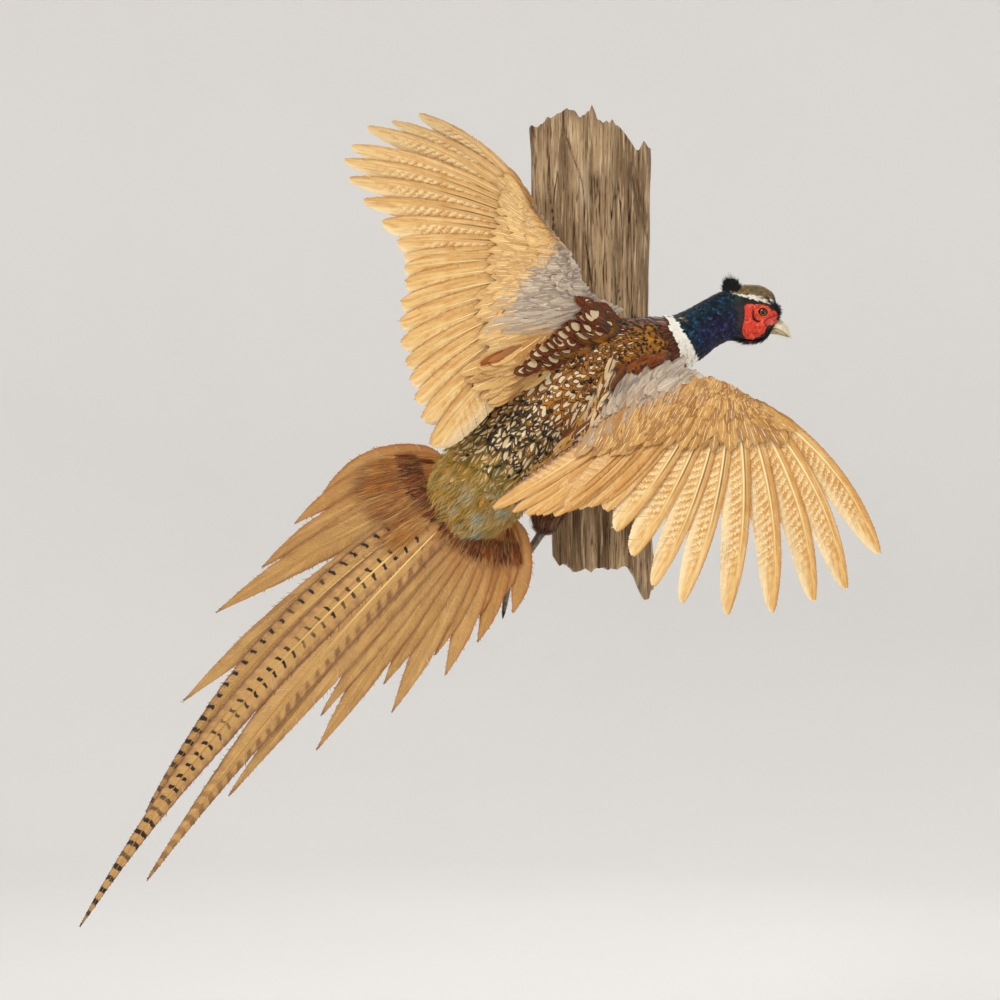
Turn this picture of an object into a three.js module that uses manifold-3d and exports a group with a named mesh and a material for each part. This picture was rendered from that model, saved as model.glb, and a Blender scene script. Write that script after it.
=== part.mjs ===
// A cock ring-necked pheasant mounted in flight on a slab of driftwood that hangs on a wall.
// Millimetres. The wall is the plane Y = 0 and the mount stands out from it towards -Y; +Z is up, and the
// bird flies towards +X with its back to the room, so its own left is up and its own right is down.
import * as THREE from 'three';
import { mergeVertices } from 'three/addons/utils/BufferGeometryUtils.js';
import Module from 'manifold-3d';

const wasm = await Module();
wasm.setup();

// ---- driving dimensions -------------------------------------------------------------------------

const gap = 0.3;                    // between pieces that touch
const roomward = new THREE.Vector3(0, -1, 0);

// The body's middle line from the rump to the bill: place, half width across the line, half depth towards the
// back (the room) and towards the belly (the wall). On the turned head, width is its height.
const bodyLine = [
  { at: [-146, -110, -172], wide: 20, back: 9, belly: 9 },
  { at: [-136, -112, -161], wide: 38, back: 21, belly: 22 },
  { at: [-117, -115, -142], wide: 47, back: 32, belly: 34 },
  { at: [-92, -118, -111], wide: 50, back: 40, belly: 44 },
  { at: [-63, -118, -76], wide: 54, back: 46, belly: 52 },
  { at: [-32, -118, -45], wide: 54, back: 51, belly: 59 },
  { at: [7, -118, -22], wide: 49, back: 52, belly: 60 },
  { at: [42, -118, -9], wide: 38, back: 43, belly: 49 },
  { at: [66, -117, -1], wide: 31.5, back: 35, belly: 36 },
  { at: [86, -115, 7], wide: 27, back: 28, belly: 28 },
  { at: [105, -112, 19], wide: 23.5, back: 22, belly: 22 },
  { at: [122, -109, 28], wide: 24, back: 17, belly: 17 },
  { at: [135, -107, 31], wide: 26.5, back: 15.5, belly: 15.5 },
  { at: [149, -106, 32], wide: 29, back: 15, belly: 15 },
  { at: [161, -106, 30], wide: 27, back: 13.5, belly: 13.5 },
  { at: [169, -106, 28], wide: 21, back: 11, belly: 11 },
  { at: [175, -106, 27], wide: 11, back: 7.5, belly: 7.5 },
];
const neckStarts = 8.9;             // place along bodyLine, counted in its points, at the white ring
const headStarts = 11.4;

const eye = { radius: 5.4, at: [160.5, 32.4], fromMiddle: 9.6 };
const wattle = { at: [156, 22], halfSize: [17, 14.6, 18] };
const earTuft = { at: [132, 54], fromMiddle: 8, lean: [-6, 17], radius: 5 };
const bill = {
  upper: [
    { at: [165, -106, 29], wide: 10, back: 6, belly: 6 },
    { at: [176, -106, 27], wide: 8.2, back: 5.2, belly: 5.2 },
    { at: [185, -106, 22], wide: 5.6, back: 3.6, belly: 3.6 },
    { at: [191, -106, 11], wide: 1.0, back: 0.9, belly: 0.9 },
  ],
  lower: [
    { at: [165, -106, 17], wide: 4, back: 5, belly: 5 },
    { at: [176, -106, 15.5], wide: 3.2, back: 4.2, belly: 4.2 },
    { at: [186, -106, 11.5], wide: 1.0, back: 1.4, belly: 1.4 },
  ],
};

// Each wing's bones, the front edge of the skin between shoulder and wrist, and its flight feathers from
// the wrist: ten primaries outwards, ten secondaries inwards. Bearing is the way a feather points, in
// degrees from +X towards +Z; rise is how far it lifts towards the room.
const wings = {
  left: {
    shoulder: [6, -146, -1], elbow: [-50, -185, 15], wrist: [-33, -212, 76], finger: [-65, -228, 121],
    web: [-6, -190, 42], front: [22, -140, 22],
    primaries: {
      bearing: [180, 177, 172.5, 168.5, 165, 162, 159, 153.5, 149.5, 143],
      length: [148, 151, 162, 178, 191, 194, 187, 177, 157, 138],
      rise: [1, 2, 3, 4, 6, 8, 10, 13, 18, 25],
    },
    secondaries: {
      bearing: [183, 186, 190.5, 195, 200, 205, 209.5, 214.5, 220, 227],
      length: [147, 146, 150, 152, 153, 152, 152, 152, 153, 158],
      rise: [0, 0, -1, -1, -1, -2, -2, -2, -2, -3],
    },
    sweep: -0.16,
  },
  right: {
    shoulder: [20, -146, -34], elbow: [45, -200, -58], wrist: [92, -246, -43], finger: [142, -258, -63],
    web: [60, -206, -26], front: [40, -150, -20],
    primaries: {
      bearing: [233, 238, 244.5, 251.5, 258.5, 269, 279.5, 289.5, 297.5, 310],
      length: [150, 160, 173, 192, 198, 202, 200, 196, 192, 176],
      rise: [-14, -13, -12, -10, -9, -8, -8, -8, -7, -7],
    },
    secondaries: {
      bearing: [229.5, 228.5, 227.5, 226, 225, 223, 222, 221, 218, 214],
      length: [145, 149, 153, 157, 162, 164, 165, 166, 169, 178],
      rise: [-14, -13, -12, -10, -9, -8, -7, -6, -5, -4],
    },
    sweep: 0.16,
  },
};
const primaryVane = { outer: 8, inner: 19 };
const secondaryVane = { outer: 11, inner: 21 };
const flightThickness = [2.4, 0.8];                  // at the quill's root and at the tip
const flightRows = [0, 0.35, 0.6, 0.8, 0.93, 1];     // rows of points along a flight feather past its coverts
const covert = { hand: [30, 58], arm: [60, 76] };   // how far coverts cover a quill: outermost to innermost
const armThickness = { finger: 8, wrist: 13, elbow: 22, shoulder: 34 };
// The arm's section from front to trailing side and back: share of the chord, share of the thickness,
// and a lift.
const armOutline = [
  [0, 0, 0], [0.1, 0.42, 0], [0.36, 0.55, 0], [0.7, 0.3, 0], [1, 0.05, 2],
  [1, -0.05, -1.5], [0.6, -0.24, 0], [0.15, -0.4, 0],
];

// The tail: seven pairs of feathers that show, from the long middle pair outwards, spread from its
// middle line.
const tail = {
  root: [-113, -114, -136], bearing: 228.5, fall: 4,
  // ratio is of each feather's length to that of the one inside it; sweep bows the feathers outwards.
  left: {
    longest: 582, ratio: 0.782, spread: [0.5, 3.3, 10.8, 20, 23.3, 30.3, 37],
    sweep: [0.094, 0.125, 0.04, 0.05, 0.13, 0.21, 0.34],
  },
  right: {
    longest: 505, ratio: 0.77, spread: [1.1, 1.5, 7.7, 16.7, 25.7, 33, 47],
    sweep: [-0.05, -0.02, 0, 0.03, 0.06, 0.14, 0.26],
  },
  halfWidth: { long: 15, short: 14 }, thick: [2.4, 0.8],
  rows: [30, 60, 95, 130, 165, 205, 250, 300, 360, 430, 500, 550],
  rootSpacing: 4.5, lift: 3.6,
};

// Each leg from inside the trunk: thigh and shank to the ankle, bare shank to the foot, and its toes.
const legs = {
  right: { hip: [-28, -92, -90], ankle: [-50, -77, -178], foot: [-84, -66, -230] },
  left: { hip: [-68, -92, -56], ankle: [-90, -77, -144], foot: [-124, -66, -196] },
};
const toes = [
  { turn: -24, length: 34 }, { turn: 0, length: 42 }, { turn: 24, length: 33 }, { turn: 160, length: 15 },
];

// The slab: half widths and ends from its middle line, and how far its broken top and bottom ends stray
// from them.
const slab = {
  top: 232, bottom: -214, depth: 38, rimDepth: 16,
  middle: [-1, -1, 1, 7, 13], halfWidth: [62, 61, 56, 52, 52],
  topBreaks: [-6, -6, 3, 5, 12, 10, -2, 11, 0, -4, -10, -16, -28, -22, -25],
  bottomBreaks: [8, 2, -2, -2, -3, -3, -2, -3, -4, -3, -1, -12, -30, -32, -15],
  ridges: [3.5, -3, 2, 4, -4, 1, 3, -2, 4, -5, 2, 3, -3, 2, 0],
};

// The fixing: a rod through the slab into the belly, its nut and washer sunk in the back of the slab, and
// a keyhole plate let into the back near the top.
const rod = { x: -16, z: -30, radius: 3, reach: 88 };
const counterbore = { radius: 11, depth: 12 };
const nut = { radius: 5.8, height: 5 };
const washer = { radius: 9, height: 1.4 };
const hanger = { z: 168, width: 22, height: 58, thickness: 2.4, pocket: 9, keyhole: 5, slot: 2.5 };

const colours = {
  trunk: 0x8a5a26, neck: 0x1d2f58, head: 0x26403f, eye: 0xb5651d, bill: 0xd6cca8, arm: 0xb59a72,
  flight: 0xdcaf69, tail: 0xb9914f, leg: 0x5c3a20, foot: 0x6b6a5c, slab: 0x87735c, steel: 0x9a9c9e,
};

// ---- helpers ------------------------------------------------------------------------------------

const vector = ([x, y, z]) => new THREE.Vector3(x, y, z);
const radians = THREE.MathUtils.degToRad;

// A smooth value at a place along a list of numbers.
function along(values, place) {
  const line = new THREE.SplineCurve(values.map((value, index) => new THREE.Vector2(index, value)));
  return line.getPoint(place / (values.length - 1)).y;
}

// A closed body skinned over rings of points, each ring closed by a fan at the first and last.
function skinned(rings) {
  const sides = rings[0].length;
  const points = rings.flat();
  const faces = [];
  for (let row = 0; row < rings.length - 1; row++) {
    for (let side = 0; side < sides; side++) {
      const a = row * sides + side;
      const b = row * sides + (side + 1) % sides;
      faces.push(a, b, b + sides, a, b + sides, a + sides);
    }
  }
  for (const [row, forward] of [[0, false], [rings.length - 1, true]]) {
    const centre = new THREE.Vector3();
    for (const point of rings[row]) centre.addScaledVector(point, 1 / sides);
    const hub = points.push(centre) - 1;
    for (let side = 0; side < sides; side++) {
      const a = row * sides + side;
      const b = row * sides + (side + 1) % sides;
      faces.push(...(forward ? [a, b, hub] : [b, a, hub]));
    }
  }
  return facingOut(points, faces);
}

// A geometry from points and faces, with the faces turned over if they face in.
function facingOut(points, faces) {
  let volume = 0;
  for (let i = 0; i < faces.length; i += 3) {
    const [a, b, c] = [points[faces[i]], points[faces[i + 1]], points[faces[i + 2]]];
    volume += a.dot(new THREE.Vector3().crossVectors(b, c));
  }
  if (volume < 0) faces.reverse();
  const geometry = new THREE.BufferGeometry();
  geometry.setAttribute('position', new THREE.Float32BufferAttribute(points.flatMap((p) => p.toArray()), 3));
  geometry.setIndex(faces);
  return geometry;
}

// A manifold-3d solid of a closed geometry, for joining and cutting.
function solid(geometry) {
  const bare = geometry.clone();
  bare.deleteAttribute('normal');
  bare.deleteAttribute('uv');
  const merged = mergeVertices(bare, 1e-4);
  return new wasm.Manifold(new wasm.Mesh({
    numProp: 3,
    vertProperties: new Float32Array(merged.attributes.position.array),
    triVerts: new Uint32Array(merged.index.array),
  }));
}

const joined = (solids) => solids.reduce((whole, piece) => whole.add(piece));
const cut = (whole, ...tools) => tools.reduce((rest, tool) => rest.subtract(tool), whole);

// The outer shell of the largest piece, without the pockets that overlapping feathers close in and
// without crumbs.
function outerShell(body) {
  return body.decompose().reduce((largest, piece) => (piece.volume() > largest.volume() ? piece : largest));
}

function geometryOf(body) {
  const mesh = body.getMesh();
  const geometry = new THREE.BufferGeometry();
  geometry.setAttribute('position', new THREE.Float32BufferAttribute(mesh.vertProperties, 3));
  geometry.setIndex([...mesh.triVerts]);
  return geometry;
}

const model = new THREE.Group();

function addPart(name, body, color, roughness = 0.8, metalness = 0) {
  const geometry = geometryOf(outerShell(body));
  geometry.computeVertexNormals();
  const mesh = new THREE.Mesh(geometry, new THREE.MeshStandardMaterial({ color, roughness, metalness }));
  mesh.name = name;
  model.add(mesh);
}

// ---- lofts along a line of oval sections --------------------------------------------------------

// The oval section at a place along a line of stations, with its own directions.
function sectionAt(line, place) {
  const path = new THREE.CatmullRomCurve3(line.map((station) => vector(station.at)));
  const share = place / (line.length - 1);
  const ahead = path.getTangent(share);
  const across = new THREE.Vector3().crossVectors(ahead, roomward).normalize();
  return {
    centre: path.getPoint(share), ahead, across,
    back: new THREE.Vector3().crossVectors(across, ahead).normalize(),
    wide: along(line.map((station) => station.wide), place),
    backDepth: along(line.map((station) => station.back), place),
    bellyDepth: along(line.map((station) => station.belly), place),
  };
}

// A body from one place along a line of stations to another; grow adds the same margin all round.
function loft(line, from, to, rows, sides, grow = 0) {
  const rings = [];
  for (let row = 0; row <= rows; row++) {
    const section = sectionAt(line, from + (to - from) * row / rows);
    if (row === 0) section.centre.addScaledVector(section.ahead, -grow);
    if (row === rows) section.centre.addScaledVector(section.ahead, grow);
    const ring = [];
    for (let side = 0; side < sides; side++) {
      const angle = 2 * Math.PI * side / sides;
      const depth = Math.sin(angle) > 0 ? section.backDepth : section.bellyDepth;
      ring.push(section.centre.clone()
        .addScaledVector(section.across, Math.cos(angle) * (section.wide + grow))
        .addScaledVector(section.back, Math.sin(angle) * (depth + grow)));
    }
    rings.push(ring);
  }
  return solid(skinned(rings));
}

function ball(centre, radii, widthSegments = 12, heightSegments = 8) {
  const geometry = new THREE.SphereGeometry(1, widthSegments, heightSegments);
  geometry.scale(...radii);
  geometry.translate(...centre);
  return solid(geometry);
}

// A cylinder along Y from one distance off the wall to another.
function peg(x, z, radius, near, far, segments = 12) {
  const geometry = new THREE.CylinderGeometry(radius, radius, far - near, segments);
  geometry.translate(x, -(near + far) / 2, z);
  return solid(geometry);
}

function block(x, z, width, height, near, far) {
  const geometry = new THREE.BoxGeometry(width, far - near, height);
  geometry.translate(x, -(near + far) / 2, z);
  return solid(geometry);
}

// ---- driftwood and fixing -----------------------------------------------------------------------

// A flat-backed slab: columns across it end at their own breaks, and its front carries ridges along the
// grain.
function driftwoodBody() {
  const columns = slab.topBreaks.length;
  const rows = 9;
  const front = [];
  const rear = [];
  for (let row = 0; row <= rows; row++) {
    const height = row / rows;
    for (let column = 0; column < columns; column++) {
      const side = column / (columns - 1);
      const topZ = slab.top + slab.topBreaks[column];
      const bottomZ = slab.bottom + slab.bottomBreaks[column];
      const z = bottomZ + (topZ - bottomZ) * height;
      const place = (1 - height) * (slab.middle.length - 1);
      const x = along(slab.middle, place) + (side * 2 - 1) * along(slab.halfWidth, place);
      const crown = 1 - Math.abs(side * 2 - 1) ** 3;
      const ridge = slab.ridges[column] * Math.sin(2.2 * height + column * 0.9 + 0.8);
      const thick = slab.rimDepth + (slab.depth - slab.rimDepth - 3) * crown + ridge * crown;
      front.push(new THREE.Vector3(x, -thick, z));
      rear.push(new THREE.Vector3(x, 0, z));
    }
  }
  const points = [...front, ...rear];
  const faces = [];
  const at = (row, column, layer) => layer * front.length + row * columns + column;
  const quad = (a, b, c, d) => faces.push(a, b, c, a, c, d);
  for (let row = 0; row < rows; row++) {
    for (let column = 0; column < columns - 1; column++) {
      quad(at(row, column, 0), at(row, column + 1, 0), at(row + 1, column + 1, 0), at(row + 1, column, 0));
      quad(at(row, column, 1), at(row + 1, column, 1), at(row + 1, column + 1, 1), at(row, column + 1, 1));
    }
    quad(at(row, 0, 1), at(row, 0, 0), at(row + 1, 0, 0), at(row + 1, 0, 1));
    const end = columns - 1;
    quad(at(row, end, 0), at(row, end, 1), at(row + 1, end, 1), at(row + 1, end, 0));
  }
  for (let column = 0; column < columns - 1; column++) {
    quad(at(0, column, 1), at(0, column + 1, 1), at(0, column + 1, 0), at(0, column, 0));
    quad(at(rows, column, 0), at(rows, column + 1, 0), at(rows, column + 1, 1), at(rows, column, 1));
  }
  return solid(facingOut(points, faces));
}

function hangerPlate(grow, near, far) {
  const round = hanger.width / 2 + grow;
  const rise = hanger.height / 2 - hanger.width / 2;
  const body = block(0, hanger.z, hanger.width + 2 * grow, 2 * rise, near, far);
  return joined([body, peg(0, hanger.z + rise, round, near, far), peg(0, hanger.z - rise, round, near, far)]);
}

const through = [-1, slab.depth + 20];
addPart('driftwood', cut(
  driftwoodBody(),
  peg(rod.x, rod.z, rod.radius + gap, ...through),
  peg(rod.x, rod.z, counterbore.radius, -1, counterbore.depth),
  hangerPlate(gap, -1, hanger.thickness + gap),
  block(0, hanger.z, 2 * hanger.keyhole, 24, -1, hanger.pocket),
), colours.slab);

addPart('hanger_plate', cut(
  hangerPlate(0, 0.2, hanger.thickness),
  peg(0, hanger.z - 5, hanger.keyhole, ...through),
  block(0, hanger.z + 2.5, 2 * hanger.slot, 15, ...through),
), colours.steel, 0.4, 0.9);

const washerNear = counterbore.depth - gap - washer.height;
addPart('rod_washer', cut(
  peg(rod.x, rod.z, washer.radius, washerNear, counterbore.depth - gap),
  peg(rod.x, rod.z, rod.radius + gap, ...through),
), colours.steel, 0.4, 0.9);
addPart('rod_nut', cut(
  peg(rod.x, rod.z, nut.radius, washerNear - gap - nut.height, washerNear - gap, 6),
  peg(rod.x, rod.z, rod.radius + gap, ...through),
), colours.steel, 0.4, 0.9);
addPart('mount_rod', peg(rod.x, rod.z, rod.radius, 2, rod.reach), colours.steel, 0.4, 0.9);

// ---- trunk, neck, head, eyes and bill -----------------------------------------------------------

const lastStation = bodyLine.length - 1;
const rodHole = peg(rod.x, rod.z, rod.radius + gap, 0, rod.reach + gap);
const trunkGrown = loft(bodyLine, 0, neckStarts - 0.01, 12, 16, gap);

addPart('trunk', cut(loft(bodyLine, 0, neckStarts - 0.01, 12, 16), rodHole), colours.trunk);
addPart('neck', loft(bodyLine, neckStarts + 0.01, headStarts - 0.01, 5, 14), colours.neck);

const headMiddle = -106;
const upperBill = loft(bill.upper, 0, bill.upper.length - 1, 5, 8);
const upperBillGrown = loft(bill.upper, 0, bill.upper.length - 1, 5, 8, gap);
const lowerBill = loft(bill.lower, 0, bill.lower.length - 1, 3, 8);
const lowerBillGrown = loft(bill.lower, 0, bill.lower.length - 1, 3, 8, gap);

function eyeball(side, radius) {
  return ball([eye.at[0], headMiddle + side * eye.fromMiddle, eye.at[1]], [radius, radius, radius], 10, 8);
}

// A blunt cone of ear feathers that leans back and up from the crown.
function earTuftBody(side) {
  const cone = new THREE.ConeGeometry(earTuft.radius, 2 * earTuft.lean[1], 6);
  cone.rotateY(Math.PI / 6);
  cone.applyQuaternion(new THREE.Quaternion().setFromUnitVectors(
    new THREE.Vector3(0, 1, 0), new THREE.Vector3(earTuft.lean[0], 0, earTuft.lean[1]).normalize()));
  cone.translate(earTuft.at[0], headMiddle + side * earTuft.fromMiddle, earTuft.at[1]);
  return solid(cone);
}

addPart('head', cut(
  joined([
    loft(bodyLine, headStarts + 0.01, lastStation, 7, 14),
    ball([wattle.at[0], headMiddle, wattle.at[1]], wattle.halfSize, 12, 8),
    earTuftBody(-1),
    earTuftBody(1),
  ]),
  eyeball(-1, eye.radius + gap), eyeball(1, eye.radius + gap), upperBillGrown, lowerBillGrown,
), colours.head);
addPart('eye_right', eyeball(-1, eye.radius), colours.eye, 0.1);
addPart('eye_left', eyeball(1, eye.radius), colours.eye, 0.1);
addPart('bill_upper', upperBill, colours.bill, 0.4);
addPart('bill_lower', cut(lowerBill, upperBillGrown), colours.bill, 0.4);

// ---- feathers -----------------------------------------------------------------------------------

const roundTip = (share) => Math.sqrt(1 - share ** 7);
const pointedTip = (share) => 1 - share ** 3;

// A fan of overlapping feathers as one thin closed sheet that parts into single feathers where they stop
// overlapping. Each feather has a curve, the distances along it of its rows of points, the reach of its
// vanes towards the next and the previous feather, and across(), the way to the next one. Feathers nearer
// the crown lie on top, so a seam follows the edge of the one nearer to it. Reaches are functions of the
// share of the length.
function featherSheet(feathers, crown, thick) {
  const rowsOf = feathers.map(({ curve, distances, profile, toNext, toPrevious, across }) => {
    const length = curve.getLength();
    return distances.map((distance) => {
      const share = Math.min(distance / length, 1);
      const ahead = curve.getTangentAt(share);
      const way = across(share).clone();
      way.addScaledVector(ahead, -way.dot(ahead)).normalize();
      const face = new THREE.Vector3().crossVectors(ahead, way);
      if (face.dot(roomward) < 0) face.negate();
      const width = Math.max(profile(share), 0.06);
      const centre = curve.getPointAt(share);
      return { centre, way, face, next: toNext(share) * width, previous: toPrevious(share) * width, share };
    });
  });
  const points = [];
  const faces = [];
  const edgePoint = (row, reach) => {
    const half = THREE.MathUtils.lerp(thick[0], thick[1], Math.min(1, 1.5 * row.share)) / 2;
    const place = row.centre.clone().addScaledVector(row.way, reach);
    points.push(place.clone().addScaledVector(row.face, half), place.addScaledVector(row.face, -half));
    return points.length - 2;
  };
  // edges[k] holds the upper point of each row on the previous side and on the next side of feather k.
  const edges = feathers.map(() => [[], []]);
  const partsAt = [];
  rowsOf.forEach((rows, k) => {
    rows.forEach((row, r) => {
      const shared = k > 0 && r < partsAt[k - 1];
      edges[k][0].push(shared ? edges[k - 1][1][r] : edgePoint(row, -row.previous));
    });
    const following = rowsOf[k + 1];
    partsAt.push(following ? seamLength(rows, following) : 0);
    const onTop = Math.abs(k - crown) <= Math.abs(k + 1 - crown);
    rows.forEach((row, r) => {
      if (r >= partsAt[k]) {
        edges[k][1].push(edgePoint(row, row.next));
        return;
      }
      const spacing = following[r].centre.distanceTo(row.centre);
      const reach = onTop ? Math.min(row.next, spacing / 2)
        : spacing - Math.min(following[r].previous, spacing / 2);
      edges[k][1].push(edgePoint(row, reach));
    });
  });
  const wall = (a, b) => faces.push(a, b, b + 1, a, b + 1, a + 1);
  edges.forEach(([previous, next], k) => {
    const last = previous.length - 1;
    for (let r = 0; r < last; r++) {
      faces.push(previous[r], next[r], next[r + 1], previous[r], next[r + 1], previous[r + 1]);
      faces.push(previous[r] + 1, next[r + 1] + 1, next[r] + 1);
      faces.push(previous[r] + 1, previous[r + 1] + 1, next[r + 1] + 1);
      if (k === 0 || r >= partsAt[k - 1] - 1) wall(previous[r], previous[r + 1]);
      if (r >= partsAt[k] - 1) wall(next[r + 1], next[r]);
    }
    wall(next[0], previous[0]);
    wall(previous[last], next[last]);
  });
  return solid(facingOut(points, faces));
}

// How many rows two neighbouring feathers share before a gap opens between them.
function seamLength(rows, following) {
  const most = Math.min(rows.length, following.length) - 1;
  let shared = 2;
  while (shared < most) {
    const spacing = following[shared].centre.distanceTo(rows[shared].centre);
    if (rows[shared].next + following[shared].previous < spacing) break;
    shared += 1;
  }
  return shared;
}

// The curve of a feather from its root, arched towards the room and swept sideways in its own plane.
function shaftCurve(root, bearing, rise, length, arch, sweep) {
  const way = new THREE.Vector3(
    Math.cos(radians(bearing)) * Math.cos(radians(rise)), -Math.sin(radians(rise)),
    Math.sin(radians(bearing)) * Math.cos(radians(rise)));
  const aside = new THREE.Vector3().crossVectors(roomward, way).normalize();
  const tip = root.clone().addScaledVector(way, length);
  const bow = root.clone().lerp(tip, 0.5).addScaledVector(roomward, arch * length)
    .addScaledVector(aside, sweep * length);
  return new THREE.QuadraticBezierCurve3(root, bow, tip);
}

// ---- wings --------------------------------------------------------------------------------------

// The flight feathers' curves from the innermost secondary to the outermost primary.
function flightCurves(wing) {
  const [elbow, wrist, finger] = [vector(wing.elbow), vector(wing.wrist), vector(wing.finger)];
  const curves = [];
  for (let index = 9; index >= 0; index--) {
    const root = wrist.clone().lerp(elbow, (index + 0.5) / 10);
    const { bearing, rise, length } = wing.secondaries;
    curves.push(shaftCurve(root, bearing[index], rise[index], length[index], 0.05, wing.sweep * 0.3));
  }
  for (let index = 0; index < 10; index++) {
    const root = wrist.clone().lerp(finger, index / 9);
    const { bearing, rise, length } = wing.primaries;
    const sweep = wing.sweep * (0.3 + 0.7 * index / 9);
    curves.push(shaftCurve(root, bearing[index], rise[index], length[index], 0.05, sweep));
  }
  return curves;
}

// The way across the fan at one feather, towards the wing tip.
function acrossFan(curves, index, share) {
  const before = curves[Math.max(index - 1, 0)].getPoint(share);
  const after = curves[Math.min(index + 1, curves.length - 1)].getPoint(share);
  return after.sub(before);
}

// How far the coverts cover each quill, from the innermost secondary to the outermost primary.
function covertReach(index) {
  const { hand, arm } = covert;
  return index < 10 ? THREE.MathUtils.lerp(arm[1], arm[0], index / 9)
    : THREE.MathUtils.lerp(hand[1], hand[0], (index - 10) / 9);
}

// The feathers from one index up to another, parted from the rest of the wing by half the space between
// feathers.
function wingFeathers(curves, from, to) {
  const feathers = [];
  for (let index = from; index < to; index++) {
    const vane = index < 10 ? secondaryVane : primaryVane;
    const curve = curves[index];
    const start = covertReach(index) - 4;
    const reachTo = (other, widest, borders) => (share) => (borders
      ? Math.min(widest, (curves[other].getPointAt(share).distanceTo(curve.getPointAt(share)) - gap) / 2)
      : widest);
    feathers.push({
      curve, profile: roundTip,
      distances: flightRows.map((share) => start + (curve.getLength() - start) * share),
      across: (share) => acrossFan(curves, index, share),
      toNext: index === curves.length - 1 ? (share) => vane.outer * Math.min(1, 0.1 + 2 * share)
        : reachTo(index + 1, vane.outer, index === to - 1),
      toPrevious: reachTo(index - 1, vane.inner, index === from && from > 0),
    });
  }
  return featherSheet(feathers, 0, flightThickness);
}

// The arm and hand with their coverts: a long body from the finger to inside the shoulder, each section
// running from the wing's front edge back along a flight feather to where the coverts end. margin makes it
// that much bigger where the feathers meet it.
function armBody(wing, curves, margin = 0) {
  const [shoulder, wrist, finger] = [vector(wing.shoulder), vector(wing.wrist), vector(wing.finger)];
  const wayOf = (index) => curves[index].getTangent(0).clone().normalize();
  const ahead = (root, index, reach) => root.clone().addScaledVector(wayOf(index), -reach);
  const frontEdge = new THREE.CatmullRomCurve3([
    ahead(finger, 19, 7), ahead(wrist.clone().lerp(finger, 0.5), 15, 10), ahead(wrist, 10, 13),
    vector(wing.web), vector(wing.front),
  ]);
  const rings = [];
  for (let index = 19; index >= 0; index--) {
    const place = index > 9 ? (19 - index) / 9 * 0.5 : 0.5 + (10 - index) / 10 * 0.42;
    const thick = index > 9 ? THREE.MathUtils.lerp(armThickness.wrist, armThickness.finger, (index - 10) / 9)
      : THREE.MathUtils.lerp(armThickness.elbow, armThickness.wrist, index / 10);
    const trail = curves[index].getPointAt((covertReach(index) + margin) / curves[index].getLength());
    rings.push(armSection(frontEdge.getPoint(place), trail, acrossFan(curves, index, 0.3), thick, margin));
  }
  const tipward = acrossFan(curves, 19, 0.3).setLength(2 * margin);
  for (const point of rings[0]) point.add(tipward);
  const inside = vector(wing.front).lerp(vector(bodyLine[6].at), 0.5);
  const shoulderTrail = shoulder.clone().addScaledVector(wayOf(0), 78).lerp(vector(bodyLine[5].at), 0.35);
  rings.push(armSection(inside, shoulderTrail, acrossFan(curves, 0, 0.3), armThickness.shoulder, margin));
  return solid(skinned(rings));
}

// One section of the arm: blunt at the trailing side, where the quills come out from between the coverts.
function armSection(lead, trail, spanwise, thick, margin) {
  const chord = trail.clone().sub(lead);
  const face = new THREE.Vector3().crossVectors(chord, spanwise).normalize();
  if (face.dot(roomward) < 0) face.negate();
  return armOutline.map(([share, height, lift]) => lead.clone()
    .addScaledVector(chord, share).addScaledVector(face, height * thick + lift + Math.sign(height) * margin));
}

for (const [side, wing] of Object.entries(wings)) {
  const curves = flightCurves(wing);
  addPart(`wing_${side}_arm`, cut(armBody(wing, curves), trunkGrown), colours.arm);
  const armGrown = armBody(wing, curves, gap);
  addPart(`wing_${side}_primaries`, cut(wingFeathers(curves, 10, 20), armGrown), colours.flight);
  addPart(`wing_${side}_secondaries`, cut(wingFeathers(curves, 0, 10), armGrown, trunkGrown), colours.flight);
}

// ---- tail ---------------------------------------------------------------------------------------

// One tail feather: side is 1 on the bird's left and -1 on its right, and order counts out from the middle.
function tailFeather(side, order, lift) {
  const bearing = radians(tail.bearing);
  const left = new THREE.Vector3(Math.sin(bearing), 0, -Math.cos(bearing));
  const root = vector(tail.root).addScaledVector(left, side * tail.rootSpacing * (order + 0.5))
    .addScaledVector(roomward, lift);
  const { spread, sweep, longest, ratio } = side > 0 ? tail.left : tail.right;
  const length = longest * ratio ** order;
  const bearingOf = tail.bearing - side * spread[order];
  const curve = shaftCurve(root, bearingOf, -tail.fall, length, 0.012, -side * sweep[order]);
  const share = THREE.MathUtils.clamp((length - 140) / 400, 0, 1);
  const half = THREE.MathUtils.lerp(tail.halfWidth.short, tail.halfWidth.long, share);
  const full = curve.getLength();
  const distances = [...tail.rows.filter((distance) => distance < 0.94 * full), full];
  // The innermost feather of a side keeps off the tail's middle line.
  const toMiddle = (along) => Math.abs(curve.getPointAt(along).sub(vector(tail.root)).dot(left)) - gap;
  const inner = (along) => (order === 2 ? Math.min(half, toMiddle(along)) : half);
  return {
    curve, distances, profile: pointedTip, across: () => left.clone().negate(),
    toNext: side > 0 ? inner : () => half,
    toPrevious: side > 0 ? () => half : inner,
  };
}

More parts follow.
